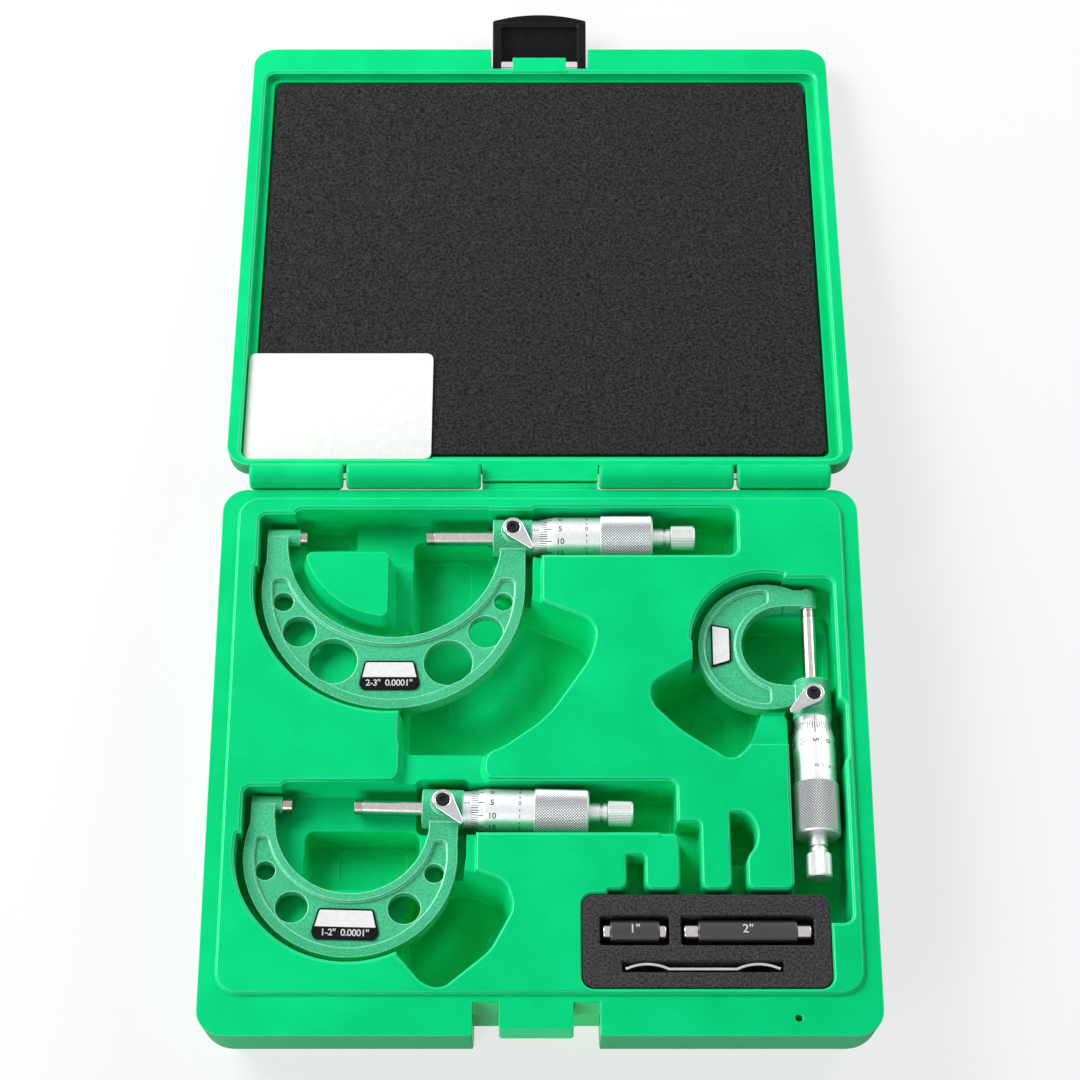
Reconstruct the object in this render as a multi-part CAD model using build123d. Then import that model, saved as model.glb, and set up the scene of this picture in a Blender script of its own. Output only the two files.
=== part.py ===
from build123d import *
import os
from dataclasses import dataclass
from math import asin, atan2, cos, degrees, hypot, radians, sin

# Hinged plastic case for three outside micrometers, their setting standards and a spanner.
# Millimetres. +X right, +Y towards the hinge, +Z up. Origin: centre of the base's underside.

os.makedirs("parts", exist_ok=True)

# ---------------------------------------------------------------- case, outside
case_width = 270.0
case_depth = 241.0
base_height = 40.5
rim_corner_radius = 10.5
skirt_height = 20.0          # near-vertical band of wall under the rim
skirt_inset = 0.6
skirt_corner_radius = 13.0
skirt_blend_radius = 10.0
foot_inset = 8.5             # the hull below the skirt draws in to this foot
foot_corner_radius = 9.0
foot_edge_radius = 5.0
blow_hole_radius = 1.5
blow_hole_depth = 6.0
blow_hole_from_side = 33.5
blow_hole_from_front = 7.1

# ---------------------------------------------------------------- lid
lid_height = 11.0
lid_draft = 6.0
lid_edge_radius = 4.0
lid_rim_side = 5.7           # width of the lid's flat rim at its sides
lid_rim_front = 14.6
lid_rim_rear = 3.3
lid_recess_corner_radius = 5.0
lid_ledge_depth = 4.2
lid_ledge_side = 4.3
lid_ledge_front = 2.5
lid_ledge_rear = 4.0
closed_rim_gap = 0.25
table_clearance = 0.25       # under the far edge of the opened lid

# ---------------------------------------------------------------- base, inside
plateau_rise = 1.5
plateau_side_clearance = 1.3
plateau_front_clearance = 2.2
plateau_rear_clearance = 1.1
plateau_corner_radius = 9.0
plateau_edge = 0.6
wall_draft = 4.0
lip = 0.8                    # rounded-over edge of every pocket
toe_radius = 1.6             # inside radius where pocket walls meet floors
seat_gap = 0.3               # under a frame that lies on its pocket floor
frame_gap = 3.6              # round a frame's outer edge
well_clearance = 0.9         # under the widest part of a thimble
channel_depth = 4.0
thumb_shelf_depth = 3.2
slot_depth = 12.0
pad_depth = 0.5
island_gap = 7.0             # between the island's top and the inside of the largest bow
island_right = 35.1          # from the largest anvil's face
island_rear = -11.2
island_corner_radius = 2.5
island_draft = 10.0
pocket_corner_radius = 4.0
pocket_ring_rise = 8.0       # the round pocket is carried this far past the bow's centre
pocket_arm_overlap = 6.0     # and the arms' straight pocket this far back into it
channel_end_gap = 1.8        # between the arms, beside the anvil's arm
channel_boss_reach = 1.3     # and into the boss's own well
channel_step = 0.2
boss_clearance = 1.3
boss_end_gap = 3.5
trough_overlap = 1.0

# ---------------------------------------------------------------- hinge
hinge_offset = 6.3           # hinge axis behind the rear edge of either rim
knuckle_radius = 5.5
knuckle_edge_radius = 1.6
knuckle_from_side = 10.8     # outer end of the outer knuckle, from the case's side
base_knuckle_length = 40.0
knuckle_gap = 1.4
lid_knuckle_length = 57.6
knuckle_web_drop = 2.4       # groove between a knuckle and the rim beside it
hinge_pin_radius = 1.5
hinge_pin_fit = 0.05
hinge_pin_end_cover = 4.0
flange_length = 9.0          # thin tab of the lid between its two knuckles
flange_thickness = 2.0
flange_side_gap = 0.4

# ---------------------------------------------------------------- latch and its seats
latch_x = -0.35
latch_width = 44.1
latch_arm_width = 4.0
latch_seat_gap = 0.7         # beside the latch in the lid's notch
lid_notch_depth = 12.3
lid_tongue_width = 25.2
lid_tongue_inset = 3.9
lid_tongue_step = 1.6
base_notch_width = 10.5
base_tongue_width = 29.4
base_tongue_x = -1.45
base_tongue_inset = 2.6
base_tongue_thickness = 12.5
base_notch_depth = 13.6
base_notch_height = 16.0
latch_recess_depth = 16.5
latch_pin_radius = 1.25
latch_pin_fit = 0.05
latch_pin_depth = 7.0        # below the lid's rim
latch_pin_inset = 6.8        # behind the lid's front edge
latch_pin_end = 2.5          # how far the pin enters each side of the notch
latch_heel_radius = 3.5
latch_plate_thickness = 2.4
latch_plate_gap = 0.3        # before the base's tongue when closed
latch_plate_start = 4.5
latch_hook_reach = 2.3
latch_hook_height = 2.5
latch_hook_gap = 0.3
latch_lip_length = 3.95      # thumb lip beyond the hook
latch_lip_drop = 2.9         # how far the lip's ends fall short of its middle
latch_open_angle = 54.0

# ---------------------------------------------------------------- foams and card
lid_foam_thickness = 3.5
lid_foam_gap = 1.2
lid_foam_corner_radius = 3.5
foam_seat_gap = 0.3
insert_side_margin = 19.5    # from the case's right side
insert_width = 98.7
insert_front_margin = 19.0
insert_depth = 39.0
insert_corner_radius = 5.0
insert_drop = 0.6            # below the plateau
insert_side_gap = 0.3
insert_height = 18.0
card_width = 81.2
card_depth = 57.0
card_thickness = 0.8
card_corner_radius = 3.2
card_from_side = 47.4        # card's middle from the case's left side
card_from_hinge = 40.2

# ---------------------------------------------------------------- setting standards and spanner
standard_rod_radius = 3.15
standard_sleeve_radius = 4.8
standard_sleeve_fit = 0.03
standard_cavity_gap = 1.3
standard_end_gap = 1.1
standard_from_front = 23.9   # in the insert
standard_axis_drop = 2.0     # below the rim
standard_edge = 0.5
short_standard_from_left = 20.8
short_standard_length = 25.4
short_standard_bare = 2.7
long_standard_from_left = 65.7
long_standard_length = 50.8
long_standard_bare = 5.5
spanner_from_left = 17.1
spanner_length = 61.0
spanner_hook = 17.0
spanner_bow = 2.0
spanner_thickness = 1.1
spanner_height = 9.0
spanner_from_front = 7.9
spanner_drop = 0.2
spanner_slot_gap = 0.7

# ---------------------------------------------------------------- micrometer head, the same on all three
axis_drop = 8.0              # measuring axis below the base's rim
boss_radius = 8.0
boss_length = 16.7
sleeve_radius = 7.5
sleeve_exposed = 3.1
sleeve_hidden = 34.0
sleeve_wall = 1.5
barrel_fit = 0.02
bush_socket_depth = 5.0
thimble_bevel = 6.2
thimble_edge_radius = 7.75
thimble_radius = 8.8
thimble_fit = 0.06
thimble_wall_start = 42.0    # inner face of the thimble's rear wall, from its front edge
knurl_start = 25.6
knurl_length = 21.7
knurl_radius = 9.6
knurl_chamfer = 0.8
stem_radius = 4.0
stem_length = 7.5
stem_groove_at = 4.5
stem_groove_width = 1.0
stem_groove_depth = 0.7
stem_shank_radius = 1.8
stem_shank_length = 9.0
stem_tail_radius = 2.0
stem_tail_length = 8.0
stem_fit = 0.06
knob_radius = 5.25
knob_length = 10.5
knob_edge = 0.9
knob_gap = 0.15              # between the stem's shoulder and the knob
knob_fit = 0.06
spring_outer_radius = 4.2
spring_inner_radius = 2.6
spring_length = 5.0
spring_fit = 0.1
adjusting_nut_radius = 7.0
adjusting_nut_length = 3.0
spindle_radius = 3.175
spindle_fit = 0.05
tip_length = 3.2
spindle_end_gap = 0.3
anvil_radius = 3.175
anvil_shank_radius = 2.5
anvil_shank_length = 9.0
anvil_fit = 0.02
anvil_boss_radius = 3.7

# ---------------------------------------------------------------- lock lever
lever_at = 8.6               # from the boss's front face
lever_ring_radius = 4.5
lever_tip_radius = 1.1
lever_length = 12.0
lever_thickness = 2.9
lever_angle = -50.0
lever_gap = 0.1
lever_clearance = 2.0        # between the lever's tip and the pocket's edge
lever_pad_height = 0.2
lever_pad_radius = 4.7
lever_fit = 0.06
lock_head_radius = 2.7
lock_head_height = 1.6
lock_shank_radius = 1.5
lock_hex = 2.6
lock_hex_depth = 1.2
lock_bore_floor = 4.4        # above the measuring axis

# ---------------------------------------------------------------- micrometer frames
frame_thickness = 8.0
frame_recess = 1.5
plate_thickness = 0.7


@dataclass
class Micrometer:
    """One micrometer: where its anvil's face lies, how it is turned, and its frame in its own axes."""
    name: str
    x: float
    y: float
    turn: float              # direction of the measuring axis
    lean: float              # how far it lies askew in its pocket
    opening: float
    head_start: float        # anvil face to boss
    anvil_reach: float       # bare anvil in front of its boss
    anvil_arm_outer: float
    anvil_arm_inner: float
    head_arm_inner: float
    head_arm_outer: float
    inner_x: float
    inner_y: float
    inner_radius: float
    outer_x: float
    outer_y: float
    outer_radius: float
    inner_rim: float
    outer_rim: float
    recess_top: float
    recess_end_radius: float
    plate: tuple             # corners of the name plate
    holes: tuple             # x, y, diameter
    trough_front: float      # clearance beside the knurl at the plateau
    trough_rear: float
    knob_room: float
    arm_rear: float          # pocket's rear edge beside the anvil arm, from the axis
    channel_rear: float      # pocket's rear edge between the arms, from the axis


large = Micrometer(
    name="large", x=36.0 - case_width / 2, y=case_depth / 2 - 19.3, turn=0.0, lean=0.0, opening=50.8, head_start=79.0,
    anvil_reach=3.0, anvil_arm_outer=-16.8, anvil_arm_inner=-7.4,
    head_arm_inner=80.7, head_arm_outer=92.8,
    inner_x=37.2, inner_y=-3.0, inner_radius=45.2, outer_x=37.2, outer_y=-25.2, outer_radius=55.5,
    inner_rim=3.3, outer_rim=4.3, recess_top=-21.0, recess_end_radius=2.4,
    plate=((25.9, -58.7), (46.7, -58.7), (49.2, -69.4), (47.6, -71.8), (25.2, -71.8), (23.7, -69.4)),
    holes=((-9.0, -31.2, 8.4), (-1.9, -45.0, 13.8), (12.6, -58.6, 20.3),
           (60.7, -59.3, 20.3), (76.2, -45.1, 14.5), (83.6, -31.2, 8.0)),
    trough_front=3.0, trough_rear=1.0, knob_room=17.8, arm_rear=7.4, channel_rear=9.7)

medium = Micrometer(
    name="medium", x=34.1 - case_width / 2, y=99.54 - case_depth / 2, turn=0.0, lean=-1.59, opening=25.4, head_start=53.0,
    anvil_reach=4.0, anvil_arm_outer=-16.4, anvil_arm_inner=-6.7,
    head_arm_inner=55.5, head_arm_outer=68.0,
    inner_x=25.0, inner_y=-7.3, inner_radius=31.3, outer_x=25.0, outer_y=-22.4, outer_radius=43.3,
    inner_rim=3.3, outer_rim=4.3, recess_top=-15.0, recess_end_radius=2.4,
    plate=((13.4, -44.8), (35.6, -44.8), (38.2, -55.0), (36.8, -57.8), (12.4, -57.8), (10.9, -55.0)),
    holes=((-9.0, -29.4, 8.0), (2.5, -44.6, 13.1), (47.7, -43.9, 13.1), (59.1, -28.7, 8.0)),
    trough_front=2.8, trough_rear=1.1, knob_room=17.6, arm_rear=5.2, channel_rear=7.2)

small = Micrometer(
    name="small", x=case_width / 2 - 22.2, y=case_depth / 2 - 54.4, turn=-90.0, lean=0.0, opening=0.1, head_start=33.0,
    anvil_reach=1.0, anvil_arm_outer=-8.6, anvil_arm_inner=-1.3,
    head_arm_inner=35.1, head_arm_outer=44.0,
    inner_x=16.9, inner_y=-10.8, inner_radius=18.0, outer_x=17.4, outer_y=-18.2, outer_radius=28.6,
    inner_rim=2.6, outer_rim=2.7, recess_top=-17.0, recess_end_radius=1.9,
    plate=((6.8, -41.4), (8.4, -33.0), (24.0, -33.0), (26.6, -41.4)),
    holes=(),
    trough_front=1.7, trough_rear=2.4, knob_room=22.0, arm_rear=10.5, channel_rear=9.4)

micrometers = (large, medium, small)

# ---------------------------------------------------------------- places worked out from the sizes
plateau_z = base_height + plateau_rise
axis_z = base_height - axis_drop
frame_floor_z = axis_z - frame_thickness / 2 - seat_gap
well_floor_z = axis_z - knurl_radius - well_clearance
boss_floor_z = axis_z - boss_radius - seat_gap
hinge_y = case_depth / 2 + hinge_offset
lid_far = hinge_offset + case_depth
lid_recess_far = lid_far - lid_rim_front
lid_recess_near = hinge_offset + lid_rim_rear
lid_foot_s = lid_far - lid_height * sin(radians(lid_draft)) / cos(radians(lid_draft)) - lid_edge_radius
lid_foot_n = lid_edge_radius - lid_height - closed_rim_gap
lid_tilt = degrees(
    asin((base_height - lid_edge_radius - table_clearance) / hypot(lid_foot_s, lid_foot_n))
    - atan2(-lid_foot_n, lid_foot_s))
latch_pin_s = lid_far - latch_pin_inset
latch_pin_n = -closed_rim_gap - latch_pin_depth
latch_plate_in = (hinge_y + case_depth / 2 - base_tongue_inset) - latch_pin_s + latch_plate_gap
latch_hook_start = latch_pin_depth + closed_rim_gap + base_tongue_thickness + latch_hook_gap
lever_base = boss_radius + lever_pad_height + lever_gap
knuckle_outer_x = case_width / 2 - knuckle_from_side
insert_left = case_width / 2 - insert_side_margin - insert_width
insert_front = insert_front_margin - case_depth / 2
insert_rear = insert_front + insert_depth
short_standard_x = insert_left + short_standard_from_left
long_standard_x = insert_left + long_standard_from_left
standard_y = insert_front + standard_from_front
spanner_left = insert_left + spanner_from_left
spanner_y = insert_front + spanner_from_front
card_x = card_from_side - case_width / 2
blow_hole_x = case_width / 2 - blow_hole_from_side
lever_top = lever_base + lever_thickness
lock_seat = lever_top - lock_head_height - lever_fit
thimble_length = knurl_start + knurl_length + knurl_chamfer
standard_z = base_height - standard_axis_drop
insert_top = plateau_z - insert_drop
insert_bottom = insert_top - insert_height


# ---------------------------------------------------------------- shared shapes
def block(low, high):
    """A box between two corners."""
    size = [b - a for a, b in zip(low, high)]
    return Pos(*low) * Box(*size, align=(Align.MIN, Align.MIN, Align.MIN))


def rod(start, end, radius):
    """A cylinder on the X axis from start to end."""
    return Pos(start, 0, 0) * Rot(0, 90, 0) * Cylinder(radius, end - start, align=(Align.CENTER, Align.CENTER, Align.MIN))


def turned(points):
    """A solid turned about the X axis from (x, radius) points."""
    return revolve(make_face(Polyline(*[(x, 0, r) for x, r in points], close=True)), Axis.X)


def rectangle(left, right, front, rear, radius):
    """A rectangle with rounded corners."""
    middle = Pos((left + right) / 2, (front + rear) / 2)
    return middle * RectangleRounded(right - left, rear - front, radius)


def outline(points, radius):
    """A face through the points with every corner rounded."""
    face = make_face(Polyline(*points, close=True))
    return fillet(face.vertices(), radius)


def well(face, floor_z, draft=wall_draft):
    """The space of a moulded pocket: drafted walls, a rounded toe and a rounded-over lip."""
    space = extrude(Pos(0, 0, plateau_z) * face, amount=floor_z - plateau_z, taper=draft)
    space = fillet(space.faces().sort_by(Axis.Z)[0].edges(), toe_radius)
    flare = extrude(Pos(0, 0, plateau_z - lip) * face, amount=lip, taper=-45)
    return space + flare


def disc(x, y, radius):
    """A round face."""
    return Pos(x, y) * Circle(radius)


def save(name, shape):
    """Write one piece to its own file."""
    shape.label = name
    export_step(shape, os.path.join("parts", name + ".step"))


# ---------------------------------------------------------------- base
def base_blank():
    """The outer hull of the base: a near-vertical skirt over a drawn-in, rounded foot."""
    rim = Pos(0, 0, base_height) * RectangleRounded(case_width, case_depth, rim_corner_radius)
    waist_width = case_width - 2 * skirt_inset
    waist_depth = case_depth - 2 * skirt_inset
    waist_z = base_height - skirt_height
    waist = Pos(0, 0, waist_z) * RectangleRounded(waist_width, waist_depth, skirt_corner_radius)
    foot_width = case_width - 2 * foot_inset
    foot_depth = case_depth - 2 * foot_inset
    foot = RectangleRounded(foot_width, foot_depth, foot_corner_radius)
    hull = loft([foot, waist], ruled=True) + loft([waist, rim], ruled=True)
    at_waist = hull.edges().filter_by_position(Axis.Z, waist_z - 0.01, waist_z + 0.01)
    hull = fillet(at_waist, skirt_blend_radius)
    hull = fillet(hull.faces().sort_by(Axis.Z)[0].edges(), foot_edge_radius)
    plateau_width = case_width - 2 * (lid_rim_side + plateau_side_clearance)
    plateau_front = lid_rim_front + plateau_front_clearance - case_depth / 2
    plateau_rear = case_depth / 2 - lid_rim_rear - plateau_rear_clearance
    plateau = extrude(
        Pos(0, 0, base_height) * rectangle(
            -plateau_width / 2, plateau_width / 2, plateau_front, plateau_rear, plateau_corner_radius),
        amount=plateau_rise)
    plateau = chamfer(plateau.faces().sort_by(Axis.Z)[-1].edges(), plateau_edge)
    return hull + plateau


def pocket_places(m):
    """A micrometer's pocket axes: at its anvil's face, square to the case."""
    return Pos(m.x, m.y, 0) * Rot(0, 0, m.turn)


def knurl_offset(m):
    """How far the knurl stands aside of the pocket's axis where the micrometer lies askew."""
    middle = m.head_start + boss_length + sleeve_exposed + knurl_start + knurl_length / 2
    return middle * sin(radians(m.lean))


def micrometer_pocket(m):
    """The recess of one micrometer: frame, arms, channel, boss and thimble trough."""
    lean = Rot(0, 0, m.lean)
    centre = (lean * Pos(m.outer_x, m.outer_y, 0)).position
    boss_end = m.head_start + boss_length
    knob_end = boss_end + sleeve_exposed + thimble_length + stem_length + knob_length
    aside = knurl_offset(m)
    ring_radius = m.outer_radius + frame_gap
    frame_ring = clipped(
        disc(centre.X, centre.Y, ring_radius), centre.X - ring_radius - 1, centre.X + ring_radius + 1,
        centre.Y - ring_radius - 1, centre.Y + pocket_ring_rise)
    arms = rectangle(
        m.anvil_arm_outer - frame_gap, m.head_arm_outer + frame_gap,
        m.outer_y - pocket_arm_overlap, m.arm_rear, pocket_corner_radius)
    channel = rectangle(
        m.anvil_arm_inner + channel_end_gap, m.head_start + channel_boss_reach,
        m.outer_y / 2, m.channel_rear, pocket_corner_radius)
    boss_front = -lever_length * sin(radians(-lever_angle)) - lever_tip_radius - lever_clearance
    boss_rear = boss_radius + boss_clearance
    boss = rectangle(
        m.head_start - boss_end_gap, boss_end + boss_end_gap, boss_front, boss_rear, pocket_corner_radius)
    trough_front = aside - knurl_radius - m.trough_front
    trough_rear = aside + knurl_radius + m.trough_rear
    trough = rectangle(
        boss_end - trough_overlap, knob_end + m.knob_room, trough_front, trough_rear, pocket_corner_radius)
    spaces = [
        well(frame_ring, frame_floor_z),
        well(arms, frame_floor_z),
        well(channel, frame_floor_z - channel_step),
        well(boss, boss_floor_z),
        well(trough, well_floor_z),
    ]
    return [pocket_places(m) * space for space in spaces]


def clipped(face, left, right, front, rear):
    """The part of a face inside a rectangle."""
    return face & (Pos((left + right) / 2, (front + rear) / 2) * Rectangle(right - left, rear - front))


def finger_wells():
    """Deep wells beside the frames, where fingers reach under them. Each is drawn from its anvil's face."""
    large_reach = outline(
        ((42.0, -39.2), (79.0, -21.2), (99.8, -33.9), (122.5, -51.7), (92.0, -102.6), (42.0, -102.6)), 9)
    large_bowl = rectangle(38.5, 81.0, -51.2, -13.2, 6)
    large_pit = rectangle(1.5, 19.5, -10.2, 5.8, 3)
    medium_reach = outline(
        ((46.4, -34.0), (69.9, -34.0), (90.1, -45.0), (59.9, -81.5), (43.4, -67.0)), 6)
    medium_bowl = rectangle(3.9, 53.4, -36.0, -16.0, 6)
    small_reach = outline(
        ((20.1, -48.3), (40.7, -67.3), (70.6, -35.3), (65.1, -24.3), (51.1, -11.3), (20.1, -22.8)), 6)
    small_bowl = rectangle(1.6, 32.1, -27.3, 9.2, 7)
    small_step = rectangle(43.1, 72.1, -8.8, 13.2, 4)
    wells = (
        (large, (large_reach, large_bowl, large_pit)),
        (medium, (medium_reach, medium_bowl)),
        (small, (small_reach, small_bowl, small_step)),
    )
    return [pocket_places(m) * well(face, well_floor_z) for m, faces in wells for face in faces]


def channels_and_slots():
    """The shallow channel between two pockets, the thumb shelf and the three slots by the insert."""
    link = rectangle(large.x + 43.7, large.x + 73.4, medium.y + 1.0, large.y - 98.2, 3)
    shelf = rectangle(51.9, 64.4, -28.8, -9.8, 3)
    slot_start = insert_rear - 3
    first_slot = rectangle(insert_left + 17.7, insert_left + 26.2, slot_start, insert_rear + 17.3, 2)
    second_slot = rectangle(insert_left + 38.9, insert_left + 48.6, slot_start, insert_rear + 30.1, 2)
    third_slot = rectangle(insert_left + 59.8, insert_left + 69.2, slot_start, insert_rear + 36.0, 2)
    third_bulge = disc(insert_left + 64.2, insert_rear + 26.5, 7.6)
    slots = (first_slot, second_slot, third_slot, third_bulge)
    return [
        well(link, plateau_z - channel_depth),
        pocket_places(small) * well(shelf, plateau_z - thumb_shelf_depth),
    ] + [well(slot, plateau_z - slot_depth) for slot in slots]


def insert_outline(gap):
    """The outline of the foam insert, widened by a gap."""
    return rectangle(
        insert_left - gap, insert_left + insert_width + gap,
        insert_front - gap, insert_front + insert_depth + gap, insert_corner_radius)


def insert_pocket():
    """The tray that holds the foam insert."""
    depth = plateau_z - insert_bottom + foam_seat_gap
    tray = extrude(Pos(0, 0, plateau_z) * insert_outline(insert_side_gap), amount=-depth)
    flare = extrude(Pos(0, 0, plateau_z - lip) * insert_outline(insert_side_gap), amount=lip, taper=-45)
    return [tray + flare]


def island():
    """The rounded block that stands inside the largest frame's C."""
    quarter = clipped(
        disc(large.inner_x, large.inner_y, large.inner_radius - island_gap),
        large.anvil_arm_outer, island_right, -large.outer_radius, island_rear)
    quarter = fillet(quarter.vertices(), island_corner_radius)
    drop = plateau_z - frame_floor_z + 1
    stand = extrude(Pos(0, 0, plateau_z) * quarter, amount=-drop, taper=-island_draft)
    return pocket_places(large) * stand


def floor_pads():
    """Shallow outlined pads sunk in the floors of the finger wells."""
    pads = (
        (large, rectangle(48.5, 62.5, -41.2, -23.7, 3)),
        (large, rectangle(53.0, 79.5, -90.7, -76.7, 3)),
        (medium, rectangle(16.9, 42.9, -33.0, -20.0, 3)),
        (small, rectangle(16.1, 29.6, -20.3, -0.8, 2.5)),
        (small, disc(53.6, -46.3, 6.2)),
    )
    return [
        pocket_places(m) * extrude(Pos(0, 0, well_floor_z + 1) * pad, amount=-1 - pad_depth)
        for m, pad in pads
    ]


def front_cuts():
    """The two notches for the latch's arms, their recess below, and the blow hole."""
    front = -case_depth / 2
    left = base_tongue_x - base_tongue_width / 2
    right = base_tongue_x + base_tongue_width / 2
    tongue_floor = base_height - base_tongue_thickness
    notch_back = front + base_notch_depth
    top = base_height + plateau_rise
    cuts = [
        block((left - base_notch_width, front - 5, -1), (left, notch_back, top)),
        block((right, front - 5, -1), (right + base_notch_width, notch_back, top)),
        block((left - base_notch_width, front - 5, -1), (right + base_notch_width, notch_back, tongue_floor)),
        block((left - base_notch_width, front - 5, -1),
              (right + base_notch_width, front + latch_recess_depth, base_height - base_notch_height)),
        block((left, front - 5, tongue_floor - 1), (right, front + base_tongue_inset, top)),
    ]
    blow_hole = Pos(blow_hole_x, front + blow_hole_from_front, base_height) * Cylinder(
        blow_hole_radius, blow_hole_depth * 2)
    return cuts + [blow_hole]


def knuckle(start, length):
    """A hinge knuckle on the X axis with pillowed ends."""
    barrel = rod(start, start + length, knuckle_radius)
    return fillet(barrel.edges().filter_by(GeomType.CIRCLE), knuckle_edge_radius)


def base_knuckles():
    """Two outer knuckles, each with a web to the base's rear wall."""
    start = knuckle_outer_x - base_knuckle_length
    barrel = knuckle(start, base_knuckle_length)
    web = block(
        (start + knuckle_edge_radius, -hinge_offset - skirt_inset, -knuckle_radius),
        (knuckle_outer_x - knuckle_edge_radius, 0, -knuckle_web_drop))
    bore = rod(start - 1, knuckle_outer_x - hinge_pin_end_cover, hinge_pin_radius + hinge_pin_fit)
    right = Pos(0, hinge_y, base_height) * (barrel + web - bore)
    return right + mirror(right, Plane.YZ)


def base_shell():
    """The moulded base with every pocket."""
    spaces = []
    for m in micrometers:
        spaces += micrometer_pocket(m)
    spaces += finger_wells()
    spaces += channels_and_slots()
    stand = island()
    body = base_blank()
    kept = body & stand
    body = body - spaces + kept
    body = body - insert_pocket() - floor_pads() - front_cuts()
    return body + base_knuckles()


# ---------------------------------------------------------------- lid, in its own axes
# The lid's own axes: origin on the hinge axis, +Y along the lid, +Z out of its open side.
def lid_place():
    """Where the opened lid's own axes lie."""
    return Pos(0, hinge_y, base_height) * Rot(-lid_tilt, 0, 0)


def lid_shell():
    """The moulded lid: rim, ledge for the foam, latch notch, tongue and two inner knuckles."""
    rim_n = -closed_rim_gap
    half = case_width / 2
    rim = Pos(0, 0, rim_n) * rectangle(-half, half, hinge_offset, lid_far, rim_corner_radius)
    shell = extrude(rim, amount=-lid_height, taper=lid_draft)
    shell = fillet(shell.faces().sort_by(Axis.Z)[0].edges(), lid_edge_radius)
    recess_half = half - lid_rim_side
    recess = Pos(0, 0, rim_n) * rectangle(
        -recess_half, recess_half, lid_recess_near, lid_recess_far, lid_recess_corner_radius)
    step = extrude(recess, amount=-lid_ledge_depth, taper=wall_draft)
    lip_flare = extrude(Pos(0, 0, -lip) * recess, amount=lip, taper=-45)
    well_depth = lid_ledge_depth + lid_foam_thickness + foam_seat_gap
    floor = Pos(0, 0, rim_n) * lid_foam_outline(lid_foam_gap)
    foam_space = extrude(floor, amount=-well_depth)
    shell = shell - step - lip_flare - foam_space
    shell = shell - lid_notch()
    shell = shell + lid_tongue() - latch_pin_bore()
    return shell + lid_knuckles() + lid_flange()


def lid_foam_outline(gap):
    """The outline of the lid's foam sheet, widened by a gap."""
    half = case_width / 2 - lid_rim_side - lid_ledge_side - lid_foam_gap + gap
    near = lid_recess_near + lid_ledge_rear + lid_foam_gap - gap
    far = lid_recess_far - lid_ledge_front - lid_foam_gap + gap
    return rectangle(-half, half, near, far, lid_foam_corner_radius)


def lid_notch():
    """The gap in the lid's front edge that the latch turns in."""
    half = latch_width / 2 + latch_seat_gap
    low = (latch_x - half, lid_far - lid_notch_depth, -lid_height - 5)
    return block(low, (latch_x + half, lid_far + 5, 5))


def lid_tongue():
    """The tongue in the middle of the notch, stepped down in front, that carries the latch's pin."""
    left = latch_x - lid_tongue_width / 2
    right = latch_x + lid_tongue_width / 2
    bottom = -closed_rim_gap - lid_height + 0.5
    back = lid_far - lid_notch_depth - 2
    front = lid_far - lid_tongue_inset
    top = -closed_rim_gap
    tongue = block((left, back, bottom), (right, front, top))
    step = block((left - 1, front - lid_tongue_step, top - lid_tongue_step), (right + 1, front + 1, top + 1))
    return tongue - step


def latch_pin_bore():
    """The pin's bore through the tongue and into both sides of the notch."""
    half = latch_width / 2 + latch_seat_gap + latch_pin_end + 0.2
    bore = rod(latch_x - half, latch_x + half, latch_pin_radius + latch_pin_fit)
    return Pos(0, latch_pin_s, latch_pin_n) * bore


def lid_knuckles():
    """Two inner knuckles with webs to the lid's rear wall."""
    end = knuckle_outer_x - base_knuckle_length - knuckle_gap
    start = end - lid_knuckle_length
    barrel = knuckle(start, lid_knuckle_length)
    web = block(
        (start + knuckle_edge_radius, 0, -knuckle_radius),
        (end - knuckle_edge_radius, hinge_offset + 1.2, -knuckle_web_drop))
    bore = rod(start - 1, end + 1, hinge_pin_radius + hinge_pin_fit)
    right = barrel + web - bore
    return right + mirror(right, Plane.YZ)


def lid_flange():
    """The thin tab between the lid's knuckles."""
    end = knuckle_outer_x - base_knuckle_length - knuckle_gap - lid_knuckle_length - flange_side_gap
    rim_n = -closed_rim_gap
    return block(
        (-end, hinge_offset + 1 - flange_length, rim_n - flange_thickness),
        (end, hinge_offset + 1, rim_n))


def hinge_pins():
    """Two steel pins, each through one base knuckle and one lid knuckle."""
    inner = knuckle_outer_x - base_knuckle_length - knuckle_gap - lid_knuckle_length
    pin = rod(inner + 0.5, knuckle_outer_x - hinge_pin_end_cover - 0.5, hinge_pin_radius)
    right = Pos(0, hinge_y, base_height) * pin
    return Compound(children=[right, mirror(right, Plane.YZ)])


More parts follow.
